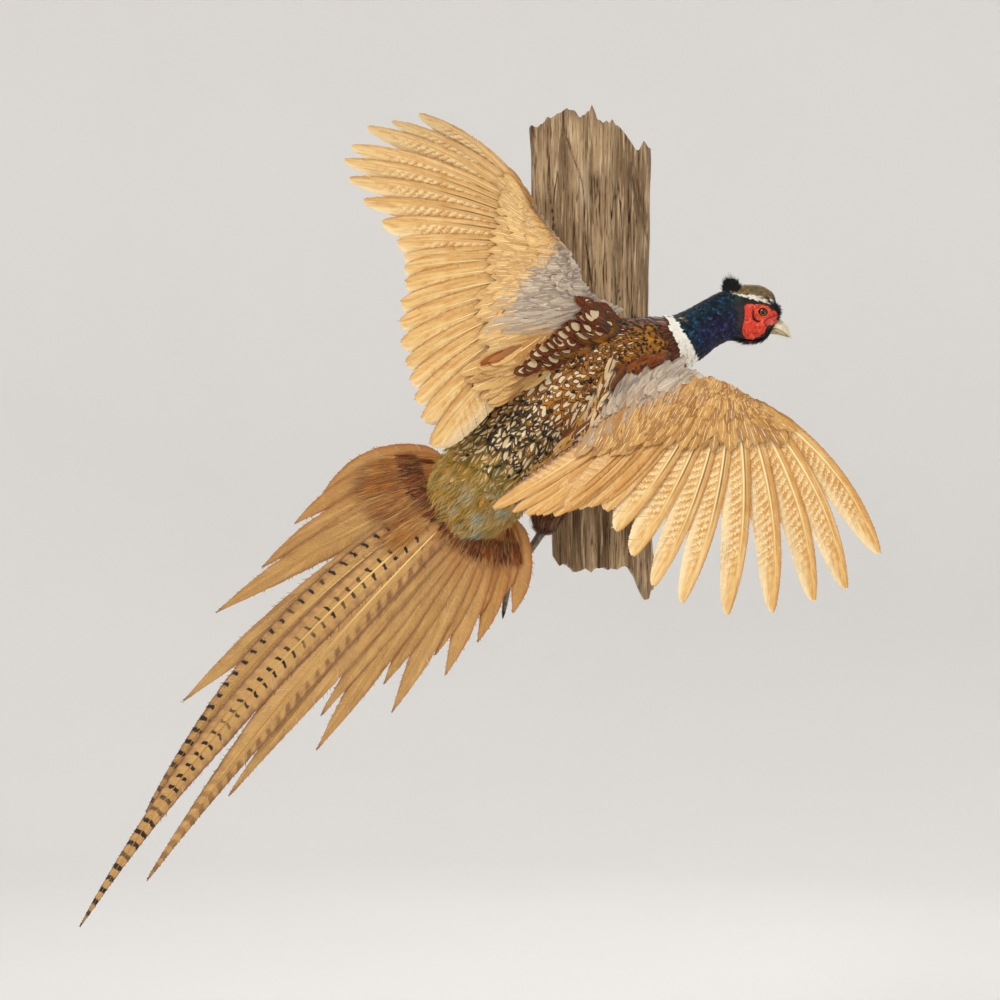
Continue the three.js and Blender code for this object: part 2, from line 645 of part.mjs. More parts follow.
// Feathers run from the bird's left to its right. The middle pairs lie over the two side fans.
const sideOrders = tail.left.spread.map((_, order) => order).slice(2);
const leftFan = [...sideOrders].reverse().map((order) => tailFeather(1, order, 0));
const rightFan = sideOrders.map((order) => tailFeather(-1, order, 0));
const middlePairs = [[1, 1], [1, 0], [-1, 0], [-1, 1]]
  .map(([side, order]) => tailFeather(side, order, tail.lift));
for (const [name, feathers, crown] of [
  ['tail_left_fan', leftFan, leftFan.length - 1],
  ['tail_right_fan', rightFan, 0],
  ['tail_centre', middlePairs, 1.5],
]) {
  addPart(name, cut(featherSheet(feathers, crown, tail.thick), trunkGrown), colours.tail);
}

// ---- legs and feet ------------------------------------------------------------------------------

const round = (at, radius) => ({ at: at.toArray(), wide: radius, back: radius, belly: radius });

// The feathered shank: stout inside the trunk, narrow at the ankle.
function shankBody(leg, grow) {
  const [hip, ankle] = [vector(leg.hip), vector(leg.ankle)];
  const line = [[0, 27], [0.35, 26], [0.7, 20], [1, 9]].map(([share, radius]) =>
    round(hip.clone().lerp(ankle, share), radius));
  return loft(line, 0, line.length - 1, 6, 12, grow);
}

// The bare foot: the scaly shank and its toes, the last one turned back.
function footBody(leg) {
  const [ankle, foot] = [vector(leg.ankle), vector(leg.foot)];
  const start = ankle.clone().lerp(foot, -0.04);
  const shank = [round(start, 4.6), round(ankle.clone().lerp(foot, 0.5), 3.8), round(foot, 4.6)];
  const pieces = [loft(shank, 0, 2, 2, 6)];
  const ahead = foot.clone().sub(ankle).normalize();
  for (const { turn, length } of toes) {
    const way = ahead.clone().applyAxisAngle(roomward, radians(turn));
    const line = [[-3, 0, 3.6], [length * 0.4, 0, 3.2], [length * 0.75, 2, 2.6], [length, 7, 0.7]];
    pieces.push(loft(line.map(([reach, curl, radius]) =>
      round(foot.clone().addScaledVector(way, reach).addScaledVector(roomward, -curl), radius)), 0, 3, 3, 5));
  }
  return joined(pieces);
}

for (const [side, leg] of Object.entries(legs)) {
  addPart(`leg_${side}`, shankBody(leg, 0).subtract(trunkGrown), colours.leg);
  addPart(`foot_${side}`, footBody(leg).subtract(shankBody(leg, gap)), colours.foot);
}

export default model;
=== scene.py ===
"""A cock pheasant mounted in flight on a slab of driftwood that hangs on a wall.

The wall is the plane Y = 0 and the mount stands out from it towards -Y. The bird flies towards +X with
its back to the room, so its own left is up (+Z) and its own right is down. Everything is in metres.
"""
import math

import bpy
import numpy as np
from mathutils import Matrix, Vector
from mathutils.bvhtree import BVHTree


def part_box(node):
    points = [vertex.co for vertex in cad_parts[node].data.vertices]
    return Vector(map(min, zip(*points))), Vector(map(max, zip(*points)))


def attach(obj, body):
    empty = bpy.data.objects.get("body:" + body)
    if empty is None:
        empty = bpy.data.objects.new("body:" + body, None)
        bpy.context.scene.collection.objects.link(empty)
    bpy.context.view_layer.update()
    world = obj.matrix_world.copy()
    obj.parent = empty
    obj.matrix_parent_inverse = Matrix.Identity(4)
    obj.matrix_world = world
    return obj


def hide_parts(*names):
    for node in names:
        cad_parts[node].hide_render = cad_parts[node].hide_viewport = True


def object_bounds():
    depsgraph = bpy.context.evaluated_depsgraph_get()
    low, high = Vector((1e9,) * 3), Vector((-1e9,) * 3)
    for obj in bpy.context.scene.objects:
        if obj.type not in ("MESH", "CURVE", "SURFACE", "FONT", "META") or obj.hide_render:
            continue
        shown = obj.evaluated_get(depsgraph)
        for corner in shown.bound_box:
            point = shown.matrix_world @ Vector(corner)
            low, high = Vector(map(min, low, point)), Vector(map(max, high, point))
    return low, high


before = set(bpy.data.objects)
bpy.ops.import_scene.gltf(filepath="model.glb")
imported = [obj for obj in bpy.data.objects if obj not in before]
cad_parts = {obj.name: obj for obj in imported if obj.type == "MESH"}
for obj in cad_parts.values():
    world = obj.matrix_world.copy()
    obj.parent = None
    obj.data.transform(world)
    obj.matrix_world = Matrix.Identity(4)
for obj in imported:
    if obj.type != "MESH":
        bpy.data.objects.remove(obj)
cad_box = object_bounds()
bpy.ops.object.select_all(action="DESELECT")

# ---- studio ------------------------------------------------------------------------------------------
# A pale bowl: a round floor that turns up into a wall all round, far enough off for any view of the mount.
# One large soft light stands to the upper left of the bird's back, with weaker ones opposite and behind.

low, high = (np.array(corner) for corner in cad_box)
middle = (low + high) / 2


def tint(red, green, blue):
    """A colour given as it looks, from 0 to 255, as the linear numbers that a shader takes."""
    return tuple((np.array([red, green, blue]) / 255.0) ** 2.2) + (1.0,)


class Level:
    """One output of a material's nodes. Arithmetic on it adds the nodes that do the sum."""

    def __init__(self, finish, socket):
        self.finish, self.socket = finish, socket

    def __add__(self, other):
        return self.finish.calc("ADD", self, other)

    def __sub__(self, other):
        return self.finish.calc("SUBTRACT", self, other)

    def __rsub__(self, other):
        return self.finish.calc("SUBTRACT", other, self)

    def __mul__(self, other):
        return self.finish.calc("MULTIPLY", self, other)

    def __truediv__(self, other):
        return self.finish.calc("DIVIDE", self, other)

    def __pow__(self, power):
        return self.finish.calc("POWER", self, power)

    def __abs__(self):
        return self.finish.calc("ABSOLUTE", self)

    __radd__, __rmul__ = __add__, __mul__


class Finish:
    """A material with its shader, and short ways to add the nodes of its pattern."""

    def __init__(self, name, **shader):
        self.material = bpy.data.materials.new(name)
        self.material.use_nodes = True
        self.tree = self.material.node_tree
        self.shader = self.tree.nodes["Principled BSDF"]
        for socket, value in shader.items():
            self.shader.inputs[socket.replace("_", " ")].default_value = value

    def add(self, kind, inputs=(), output=0, **settings):
        """A node with these settings; inputs pair a socket with a number, a colour or a node's output."""
        node = self.tree.nodes.new("ShaderNode" + kind)
        for setting, value in settings.items():
            setattr(node, setting, value)
        for socket, value in dict(inputs).items():
            if isinstance(value, Level):
                self.tree.links.new(value.socket, node.inputs[socket])
            else:
                node.inputs[socket].default_value = value
        return Level(self, node.outputs[output])

    def place(self):
        return self.add("TexCoord", output="Object")

    def map(self, name):
        """The two numbers of one of the piece's own maps."""
        vector = self.add("UVMap", uv_map=name)
        return self.add("SeparateXYZ", {0: vector}), self.add("SeparateXYZ", {0: vector}, 1)

    def held(self, name):
        """A number that each vertex holds."""
        return self.add("Attribute", output="Fac", attribute_name=name)

    def painted(self, name):
        return self.add("Attribute", output="Color", attribute_name=name)

    def calc(self, operation, *values):
        return self.add("Math", enumerate(values), operation=operation)

    def pack(self, x=0.0, y=0.0, z=0.0):
        return self.add("CombineXYZ", {0: x, 1: y, 2: z})

    def stretched(self, vector, scale, turn=(0, 0, 0)):
        return self.add("Mapping", {"Vector": vector, "Scale": scale, "Rotation": turn})

    def noise(self, vector, scale, detail=2.0, rough=0.5, warp=0.0):
        return self.add("TexNoise", {"Vector": vector, "Scale": scale, "Detail": detail,
                                     "Roughness": rough, "Distortion": warp})

    def ramp(self, value, start, end):
        """0 up to start and 1 from end on, smooth between; start may be the larger."""
        return self.add("MapRange", {"Value": value, "From Min": start, "From Max": end},
                        interpolation_type="SMOOTHSTEP")

    def band(self, value, at, width, soft):
        """1 within width of at, fading to 0 over soft."""
        return self.ramp(abs(value - at), width + soft, width)

    def mix(self, share, first, second):
        """The second colour over the first; a colour is a node's output or red, green and blue up to 255."""
        first, second = (tint(*colour) if isinstance(colour, tuple) else colour
                         for colour in (first, second))
        return self.add("Mix", {"Factor": share, 6: first, 7: second}, output=2, data_type="RGBA")

    def over(self, colour, *layers):
        """Colours laid over a first one; each layer is how much of it shows and its colour."""
        for share, layer in layers:
            colour = self.mix(share, colour, layer)
        return colour

    def wear(self, colour, roughness=None, height=None, strength=0.3, distance=0.001):
        """Puts the pattern on the shader."""
        self.tree.links.new(colour.socket, self.shader.inputs["Base Color"])
        if roughness:
            self.tree.links.new(roughness.socket, self.shader.inputs["Roughness"])
        if height:
            bump = self.add("Bump", {"Height": height, "Strength": strength, "Distance": distance})
            self.tree.links.new(bump.socket, self.shader.inputs["Normal"])
        return self.material


def spun_bowl():
    """The floor and wall as one surface of revolution about the middle of the mount."""
    floor_z, radius, turn, top_z = low[2] - 0.35, 4.3, 1.6, 3.6
    profile = [(0.0, floor_z)]
    profile += [(radius - turn + turn * math.sin(a), floor_z + turn - turn * math.cos(a))
                for a in np.linspace(0, math.pi / 2, 24)]
    profile.append((radius, top_z))
    bpy.ops.mesh.primitive_circle_add(vertices=96, radius=1.0)
    bowl = bpy.context.object
    bowl.name = "studio_bowl"
    turns = np.linspace(0, 2 * math.pi, 97)[:-1]
    points = [(middle[0], middle[1], floor_z)]
    faces = []
    for reach, height in profile[1:]:
        points += [(middle[0] + reach * math.cos(a), middle[1] + reach * math.sin(a), height)
                   for a in turns]
    count = len(turns)
    for k in range(count):
        faces.append((0, 1 + k, 1 + (k + 1) % count))
        for ring in range(len(profile) - 2):
            a = 1 + ring * count
            faces.append((a + k, a + count + k, a + count + (k + 1) % count, a + (k + 1) % count))
    bowl.data.clear_geometry()
    bowl.data.from_pydata(points, [], faces)
    bowl.data.shade_smooth()
    return bowl


bowl = spun_bowl()
paper = Finish("studio_paper", Roughness=0.95)
paper_grain = paper.noise(paper.place(), 2.5, 3)
bowl.data.materials.append(paper.wear(paper.mix(paper_grain, (247, 246, 245), (251, 250, 249))))

bpy.ops.object.camera_add(location=(-0.092, -2.387, -0.148), rotation=(math.pi / 2, 0, 0))
camera = bpy.context.object
camera.data.lens = 85
camera.data.clip_end = 30
bpy.context.scene.camera = camera


def soft_light(name, place, size, power):
    """A square lamp, a little warm, aimed at the middle of the mount."""
    bpy.ops.object.light_add(type="AREA", location=place)
    light = bpy.context.object
    light.name = name
    light.data.size = size
    light.data.energy = power
    light.data.color = (1.0, 0.97, 0.93)
    light.rotation_euler = (Vector(middle) - light.location).to_track_quat("-Z", "Y").to_euler()


soft_light("key_light", (-1.5, -2.6, 1.9), 1.1, 62)
soft_light("fill_light", (1.9, -2.5, 0.2), 2.0, 14)
soft_light("back_light", (0.6, 1.9, 1.6), 1.6, 22)
world = bpy.data.worlds.new("studio_air")
world.use_nodes = True
world.node_tree.nodes["Background"].inputs[0].default_value = (1.0, 0.99, 0.97, 1.0)
world.node_tree.nodes["Background"].inputs[1].default_value = 0.42
bpy.context.scene.world = world
bpy.context.scene.view_settings.view_transform = "Standard"

# ---- driftwood -----------------------------------------------------------------------------------------
# A weathered slab split from a trunk, flat behind and ridged in front. The soft wood between its growth
# rings has worn into grooves, and its ends are broken off in splinters. The bird is fixed to its face.

GRAIN_SLANT = 0.13          # how far the grain leans towards +X on its way down
GROOVE_DEPTH = 0.0034
KNOT = np.array([0.001, 0.168])
KNOT_HALF = np.array([0.011, 0.027])
WOOD_CELL = 0.0015                  # size of the slab's mesh


def lattice(whole, seed):
    """A number between 0 and 1 for each whole-numbered place."""
    mixed = whole @ np.array([374761393, 668265263, 715827881]) + seed * 1013904223
    mixed = (mixed ^ (mixed >> 13)) * 1274126177 & 0x7FFFFFFF
    return ((mixed ^ (mixed >> 16)) & 0xFFFFFF) / float(0xFFFFFF)


def lumps(points, size, seed=0):
    """Smooth noise between -1 and 1 whose lumps are about size across; size may differ by direction."""
    scaled = np.asarray(points, float) / size + 100.5
    whole = np.floor(scaled).astype(np.int64)
    part = scaled - whole
    part = part * part * (3 - 2 * part)
    total = np.zeros(len(scaled))
    for corner in np.ndindex(2, 2, 2):
        weight = np.prod(np.where(corner, part, 1 - part), axis=1)
        total += weight * lattice(whole + np.array(corner), seed)
    return 2 * total - 1


def ramp(value, start, end):
    """0 up to start and 1 from end on, smooth between; start may be the larger."""
    share = np.clip((np.asarray(value, float) - start) / (end - start), 0, 1)
    return share * share * (3 - 2 * share)


def select_only(piece):
    bpy.ops.object.select_all(action="DESELECT")
    piece.select_set(True)
    bpy.context.view_layer.objects.active = piece


def copy_of(name, *nodes):
    """One new object with copies of these CAD nodes' meshes, their loose triangles merged."""
    bpy.ops.object.select_all(action="DESELECT")
    for node in nodes:
        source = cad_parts[node]
        twin = bpy.data.objects.new(name, source.data.copy())
        bpy.context.collection.objects.link(twin)
        twin.select_set(True)
        bpy.context.view_layer.objects.active = twin
    if len(nodes) > 1:
        bpy.ops.object.join()
    piece = bpy.context.view_layer.objects.active
    piece.name = name
    piece.data.materials.clear()
    bpy.ops.object.mode_set(mode="EDIT")
    bpy.ops.mesh.select_all(action="SELECT")
    bpy.ops.mesh.remove_doubles(threshold=1e-5)
    bpy.ops.object.mode_set(mode="OBJECT")
    return piece


def remeshed(piece, voxel, smoothing):
    """Makes the piece one even closed surface and rounds it."""
    remesh = piece.modifiers.new("even", "REMESH")
    remesh.mode = "VOXEL"
    remesh.voxel_size = voxel
    smooth = piece.modifiers.new("round", "SMOOTH")
    smooth.iterations = smoothing
    select_only(piece)
    for modifier in ("even", "round"):
        bpy.ops.object.modifier_apply(modifier=modifier)


def thinned(piece, share):
    """Keeps this share of the piece's faces."""
    thin = piece.modifiers.new("thin", "DECIMATE")
    thin.ratio = share
    select_only(piece)
    bpy.ops.object.modifier_apply(modifier="thin")


def points_of(piece):
    points = np.empty(len(piece.data.vertices) * 3)
    piece.data.vertices.foreach_get("co", points)
    return points.reshape(-1, 3)


def normals_of(piece):
    normals = np.empty(len(piece.data.vertices) * 3)
    piece.data.vertices.foreach_get("normal", normals)
    return normals.reshape(-1, 3)


def reshape(piece, points):
    piece.data.vertices.foreach_set("co", points.ravel())
    piece.data.update()


def rest(piece, slot, *nodes):
    """The piece rides on the mount and stands for these CAD nodes, whose parts it hides; slot is not used."""
    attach(piece, "root")
    if nodes:
        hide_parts(*nodes)


wood = copy_of("driftwood_slab", "driftwood")
remeshed(wood, WOOD_CELL, 3)
wood_low, wood_high = (np.array(corner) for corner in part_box("driftwood"))
at = points_of(wood)
front = ramp(-at[:, 1], 0.004, 0.012)
# The grain's own direction across the slab, bent round the knot.
from_knot = (at[:, [0, 2]] - KNOT) / (KNOT_HALF * 1.6)
near_knot = np.exp(-(from_knot ** 2).sum(axis=1))
sway = lumps(at * [0, 0, 1] + [0.5, 0, 0], [1, 1, 0.11], 3) * 0.004
across = (at[:, 0] + GRAIN_SLANT * (at[:, 2] - wood_low[2]) + sway
          + 0.012 * near_knot * np.tanh(2 * from_knot[:, 0]))
grain = np.stack([across, at[:, 1] * 0.3, at[:, 2]], axis=1)
height = 0.45 * lumps(grain, [0.011, 0.05, 0.16], 1) + 0.30 * lumps(grain, [0.0052, 0.03, 0.11], 2)
height += 0.16 * lumps(grain, [0.0027, 0.02, 0.07], 4)
cracks = lumps(grain, [0.0135, 0.05, 0.10], 5)
cracked = np.exp(-(cracks / 0.045) ** 2) * ramp(lumps(grain, [0.03, 0.05, 0.08], 6), 0.0, 0.35)
ring = np.sqrt((from_knot ** 2).sum(axis=1)) * 1.6
height += 0.5 * np.exp(-((ring - 0.75) / 0.35) ** 2) - 0.7 * np.exp(-(ring / 0.3) ** 2)
slit = np.exp(-((at[:, 0] - KNOT[0] - 0.0045) / 0.0011) ** 2 - ((at[:, 2] - KNOT[1] + 0.002) / 0.0075) ** 2)
drop = GROOVE_DEPTH * (0.55 * height - 0.55) - 0.0045 * cracked - 0.007 * slit
moved = at.copy()
moved[:, 1] -= front * drop
# Splinters: the broken ends are notched along the grain by up to a centimetre.
splinter = (lumps(grain * [1, 1, 0.02], [0.0065, 0.06, 1], 7)
            + 0.5 * lumps(grain * [1, 1, 0.02], [0.0028, 0.03, 1], 8))
ends = ramp(at[:, 2], wood_high[2] - 0.075, wood_high[2] - 0.02)
ends -= ramp(-at[:, 2], -wood_low[2] - 0.07, -wood_low[2] - 0.02)
moved[:, 2] += ends * (splinter * 0.0080 + 0.0010) * np.where(np.abs(ends) > 0, 1, 0)
sides = ramp(np.abs(at[:, 0] - 0.004), 0.045, 0.06)
moved[:, 0] += sides * np.sign(at[:, 0]) * (lumps(grain, [0.02, 0.012, 0.035], 9) * 0.0018 - 0.0014)
reshape(wood, moved)
wood.data.shade_smooth()

bark = Finish("weathered_driftwood", Roughness=0.88, Specular_IOR_Level=0.25)
place = bark.place()
along_grain = bark.stretched(place, (1.0, 0.45, 0.055), (0, -math.atan(GRAIN_SLANT), 0))
fibres = bark.noise(along_grain, 820, 3, 0.65, 0.15)
streaks = bark.noise(along_grain, 300, 3, 0.6, 0.25)
bands = bark.noise(along_grain, 85, 2, 0.5, 0.4)
split_lines = bark.noise(bark.stretched(place, (1.0, 0.3, 0.028), (0, -math.atan(GRAIN_SLANT), 0)), 120,
                         1.5, 0.4, 0.5)
patches = bark.noise(place, 14, 3, 0.55)
wood_colour = bark.mix(bark.ramp(bands, 0.36, 0.62), (110, 88, 64), (166, 140, 106))
wood_colour = bark.over(
    wood_colour, (bark.ramp(patches, 0.42, 0.66), (128, 104, 76)),
    (bark.ramp(streaks, 0.52, 0.68), (196, 168, 130)),
    (bark.ramp(streaks, 0.45, 0.32), (78, 58, 40)),
    (bark.ramp(fibres, 0.45, 0.30), (64, 47, 33)),
    (bark.ramp(fibres, 0.56, 0.74) * 0.5, (188, 164, 132)))
thin_split = bark.band(split_lines, 0.5, 0.004, 0.012) * bark.ramp(bark.noise(place, 24, 2), 0.46, 0.58)
# Dark in the cracks, the knot and the low grooves: partly the wood's own dark cracks and partly painted shade
# in these hollows.
wood_colour = bark.over(
    wood_colour, (thin_split, (42, 31, 23)),
    (bark.held("crack_and_hollow_shade") * bark.ramp(fibres, 0.72, 0.38), (44, 32, 24)),
    (bark.held("ridge"), (186, 166, 142)))
fibre_height = streaks * 0.7 + fibres * 0.5
wood.data.materials.append(bark.wear(wood_colour, bark.ramp(streaks, 0.9, 0.2), fibre_height, 0.55, 0.0012))


def hold(piece, name, values):
    """Gives each vertex of the piece a number, or a colour, for its material to read."""
    values = np.asarray(values, np.float32)
    if values.ndim == 1:
        layer = piece.data.attributes.new(name, "FLOAT", "POINT")
        layer.data.foreach_set("value", values)
    else:
        layer = piece.data.attributes.new(name, "FLOAT_COLOR", "POINT")
        layer.data.foreach_set("color", np.column_stack([values, np.ones(len(values), np.float32)]).ravel())


# Darkest in the cracks and the knot's slit and centre, darker in the low grooves: partly the wood's own
# colour and partly painted shade in the hollows.
hold(wood, "crack_and_hollow_shade", np.clip(front * (cracked ** 2 * 0.9 + 1.3 * slit ** 2
                                     + 0.25 * np.exp(-(ring / 0.3) ** 2))
                            + 0.3 * ramp(-height, 0.3, 0.8) * front, 0, 1))
hold(wood, "ridge", 0.42 * front * ramp(height, 0.25, 0.75))
thinned(wood, 0.55)
rest(wood, "driftwood", "driftwood")

# ---- steel fixing ----------------------------------------------------------------------------------------
# A zinc-plated threaded rod runs from the back of the slab into the bird's body. Its nut and washer are sunk
# in the back, and a keyhole plate let in near the top takes the wall's screw.

zinc = Finish("zinc_plate", Metallic=1.0, Roughness=0.38)
spangle = zinc.add("TexVoronoi", {"Vector": zinc.place(), "Scale": 420.0}, output="Color")
spangle_grey = zinc.add("RGBToBW", {0: spangle})
brushed = zinc.noise(zinc.stretched(zinc.place(), (1, 1, 14)), 320, 2)
zinc_colour = zinc.mix(spangle_grey, (150, 152, 155), (188, 190, 192))
zinc.wear(zinc_colour, zinc.ramp(brushed, -0.4, 1.6), brushed, 0.15, 0.0002)
for node in ("hanger_plate", "rod_washer", "rod_nut", "mount_rod"):
    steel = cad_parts[node]
    steel.data.materials.clear()
    steel.data.materials.append(zinc.material)

# ---- skin ------------------------------------------------------------------------------------------------
# One tanned skin over the form: trunk, neck, head, wing arms and thighs without a seam. It lies inside the
# outline by the depth of the coat, and wears the coat's own colours where it could show between feathers.

EYE_AT = (0.1605, 0.0324)          # X and Z of both eyes
EYE_FROM_MIDDLE = 0.0096
EYE_RADIUS = 0.0054
HEAD_MIDDLE = -0.106
SKIN_CELL = 0.0016                 # size of the skin's mesh before it is thinned
AT_ONCE = 4000                     # points that are compared with a line at one time

# The middle line from rump to bill: X, Y, Z, half width, depth to the back and depth to the belly, in mm.
BODY_LINE = np.array([
    (-146, -110, -172, 20, 9, 9), (-136, -112, -161, 38, 21, 22), (-117, -115, -142, 47, 32, 34),
    (-92, -118, -111, 50, 40, 44), (-63, -118, -76, 54, 46, 52), (-32, -118, -45, 54, 51, 59),
    (7, -118, -22, 49, 52, 60), (42, -118, -9, 38, 43, 49), (66, -117, -1, 31.5, 35, 36),
    (86, -115, 7, 27, 28, 28), (105, -112, 19, 23.5, 22, 22), (122, -109, 28, 24, 17, 17),
    (135, -107, 31, 26.5, 15.5, 15.5), (149, -106, 32, 29, 15, 15), (161, -106, 30, 27, 13.5, 13.5),
    (169, -106, 28, 21, 11, 11), (175, -106, 27, 11, 7.5, 7.5),
]) * 0.001
ROOMWARD = np.array([0.0, -1.0, 0.0])


def unit(vectors):
    return vectors / np.maximum(np.linalg.norm(vectors, axis=-1, keepdims=True), 1e-12)


def spline(values, place):
    """A smooth line through a list of numbers or points, read at places counted in its points."""
    values = np.asarray(values, float)
    place = np.clip(np.asarray(place, float), 0, len(values) - 1)
    first = np.minimum(place.astype(int), len(values) - 2)
    part = (place - first).reshape(place.shape + (1,) * (values.ndim - 1))
    a, b = values[np.maximum(first - 1, 0)], values[first]
    c, d = values[first + 1], values[np.minimum(first + 2, len(values) - 1)]
    return 0.5 * (2 * b + (c - a) * part + (2 * a - 5 * b + 4 * c - d) * part ** 2
                  + (3 * b - a - 3 * c + d) * part ** 3)


def body_frame(place):
    """The middle line's centre, way ahead, way across (to the bird's right) and way to the back."""
    centre = spline(BODY_LINE[:, :3], place)
    ahead = unit(spline(BODY_LINE[:, :3], np.asarray(place) + 0.05)
                 - spline(BODY_LINE[:, :3], np.asarray(place) - 0.05))
    across = unit(np.cross(ahead, ROOMWARD))
    return centre, ahead, across, unit(np.cross(across, ahead))


def body_point(place, angle, inward=0.0):
    """A point on the body: the angle runs from the bird's right (0) over its back (90) to its left (180)."""
    centre, _, across, back = body_frame(place)
    wide, over, under = (spline(BODY_LINE[:, column], place) - inward for column in (3, 4, 5))
    depth = np.where(np.sin(angle) > 0, over, under)
    return (centre + across * (np.cos(angle) * wide)[..., None] + back * (np.sin(angle) * depth)[..., None])


LINE_PLACES = np.linspace(0, len(BODY_LINE) - 1, 400)
LINE_CENTRES, LINE_AHEAD, LINE_ACROSS, LINE_BACK = body_frame(LINE_PLACES)


def line_index(points):
    """For each point, the nearest sample of the middle line."""
    nearest = np.empty(len(points), int)
    for start in range(0, len(points), AT_ONCE):
        part = points[start:start + AT_ONCE]
        nearest[start:start + AT_ONCE] = ((part[:, None] - LINE_CENTRES[None]) ** 2).sum(-1).argmin(1)
    return nearest


skin = copy_of("skin", "trunk", "neck", "head", "wing_left_arm", "wing_right_arm", "leg_left", "leg_right")
remeshed(skin, SKIN_CELL, 6)
at = points_of(skin)
normal = normals_of(skin)
skin_place = LINE_PLACES[line_index(at)]
from_line = np.linalg.norm(at - spline(BODY_LINE[:, :3], skin_place), axis=1)
on_arm = ramp(from_line, 0.060, 0.072) * (skin_place < 11)
coat_depth = (np.interp(skin_place, [0, 2, 8, 9.5, 11.5, 13, 16], [3.0, 3.4, 3.2, 2.4, 1.5, 0.9, 0.5])
              * 0.001)
coat_depth = coat_depth * (1 - on_arm) + 0.0014 * on_arm
reshape(skin, at - normal * coat_depth[:, None])
skin.data.shade_smooth()
skin_tree = BVHTree.FromPolygons([tuple(p) for p in points_of(skin)],
                                 [tuple(face.vertices) for face in skin.data.polygons])


def on_skin(points):
    """The nearest points of the skin and its way out there."""
    found = np.empty_like(points)
    out = np.empty_like(points)
    for index, point in enumerate(points):
        place, way, _, _ = skin_tree.find_nearest(Vector(point))
        found[index] = place
        out[index] = way
    return found, out


def walk(roots, length, way_at, steps=5):
    """Lines of points over the skin from each root: way_at gives the lie of the coat at any point."""
    at = roots
    length = np.broadcast_to(np.asarray(length, float), len(roots))
    lines, outs = [], []
    for _ in range(steps + 1):
        at, out = on_skin(at)
        lines.append(at)
        outs.append(out)
        way = way_at(at)
        way = unit(way - out * (way * out).sum(1, keepdims=True))
        at = at + way * (length / steps)[:, None]
    lines, outs = np.stack(lines, 1), np.stack(outs, 1)
    smooth = outs.copy()
    smooth[:, 1:-1] = unit(outs[:, :-2] + outs[:, 1:-1] * 2 + outs[:, 2:])
    return lines, smooth


SHARP_EDGE = math.radians(50)


def make_mesh(name, points, quads, triangles=(), maps=None, numbers=None, material=None):
    """A smooth mesh from arrays, with its UV maps and numbers held at the vertices."""
    mesh = bpy.data.meshes.new(name)
    faces = np.asarray(quads).tolist() + np.asarray(triangles).tolist()
    mesh.from_pydata(np.asarray(points).tolist(), [], faces)
    corners = np.empty(len(mesh.loops), np.int32)
    mesh.loops.foreach_get("vertex_index", corners)
    for map_name, values in (maps or {}).items():
        layer = mesh.uv_layers.new(name=map_name, do_init=False)
        layer.data.foreach_set("uv", np.asarray(values, np.float32)[corners].ravel())
    mesh.shade_smooth()
    mesh.set_sharp_from_angle(angle=SHARP_EDGE)
    piece = bpy.data.objects.new(name, mesh)
    bpy.context.collection.objects.link(piece)
    for number_name, values in (numbers or {}).items():
        hold(piece, number_name, values)
    if material:
        mesh.materials.append(material)
    return piece


def round_faces(rows, columns, inward=False):
    """Faces of a grid whose last column joins its first, turned outwards or inwards."""
    grid = np.arange(rows * columns).reshape(rows, columns)
    beside = np.roll(grid, -1, 1)
    corners = [grid[:-1], beside[:-1], beside[1:], grid[1:]]
    if inward:
        corners = corners[:1] + corners[:0:-1]
    return np.stack(corners, -1).reshape(-1, 4)


def end_caps(rows, columns):
    """Triangles that close both ends of such a grid on two hubs, which come after its points."""
    grid = np.arange(rows * columns).reshape(rows, columns)[[0, -1]]
    beside, hub = np.roll(grid, -1, 1), rows * columns + np.zeros(columns, int)
    return np.concatenate([np.stack([beside[0], grid[0], hub], -1),
                           np.stack([grid[1], beside[1], hub + 1], -1)])


def sheet_faces(rows, columns):
    """Faces of one closed thin sheet: the upper grid's points come first, then the lower's inner ones."""
    upper = np.arange(rows * columns).reshape(rows, columns)
    lower = upper.copy()
    inner = np.arange((rows - 2) * (columns - 2)).reshape(rows - 2, columns - 2)
    lower[1:-1, 1:-1] = rows * columns + inner

    def cells(grid):
        return np.stack([grid[:-1, :-1], grid[:-1, 1:], grid[1:, 1:], grid[1:, :-1]], -1).reshape(-1, 4)
    return np.concatenate([cells(upper), cells(lower)[:, ::-1]])


def round_outline(share, shoulder=0.55, root=0.35, tip=0.12):
    """Half width along a small feather: it widens from its root and rounds off beyond its shoulder."""
    rising = root + (1 - root) * ramp(share, 0, 0.5)
    beyond = np.clip((share - shoulder) / (1 - shoulder), 0, 1)
    return rising * np.maximum(np.sqrt(1 - beyond ** 2 * (1 - tip ** 2)), tip)


def feather_frame(lines, outs, shares):
    """Points at these shares of each line's length, with the ways out, ahead and across there."""
    def read(values):
        return spline(values.swapaxes(0, 1), np.asarray(shares) * (values.shape[1] - 1)).swapaxes(0, 1)

    centre, out = read(lines), unit(read(outs))
    ahead = unit(np.gradient(centre, axis=1))
    return centre, out, ahead, unit(np.cross(out, ahead))


def per_root(values, count):
    """One number or colour for each root."""
    values = np.asarray(values, float)
    return np.broadcast_to(values, count) if values.ndim < 2 else values


BAKE_STEP = np.array([0.003, 0.0015])       # one feather's room on the coat's unwrap


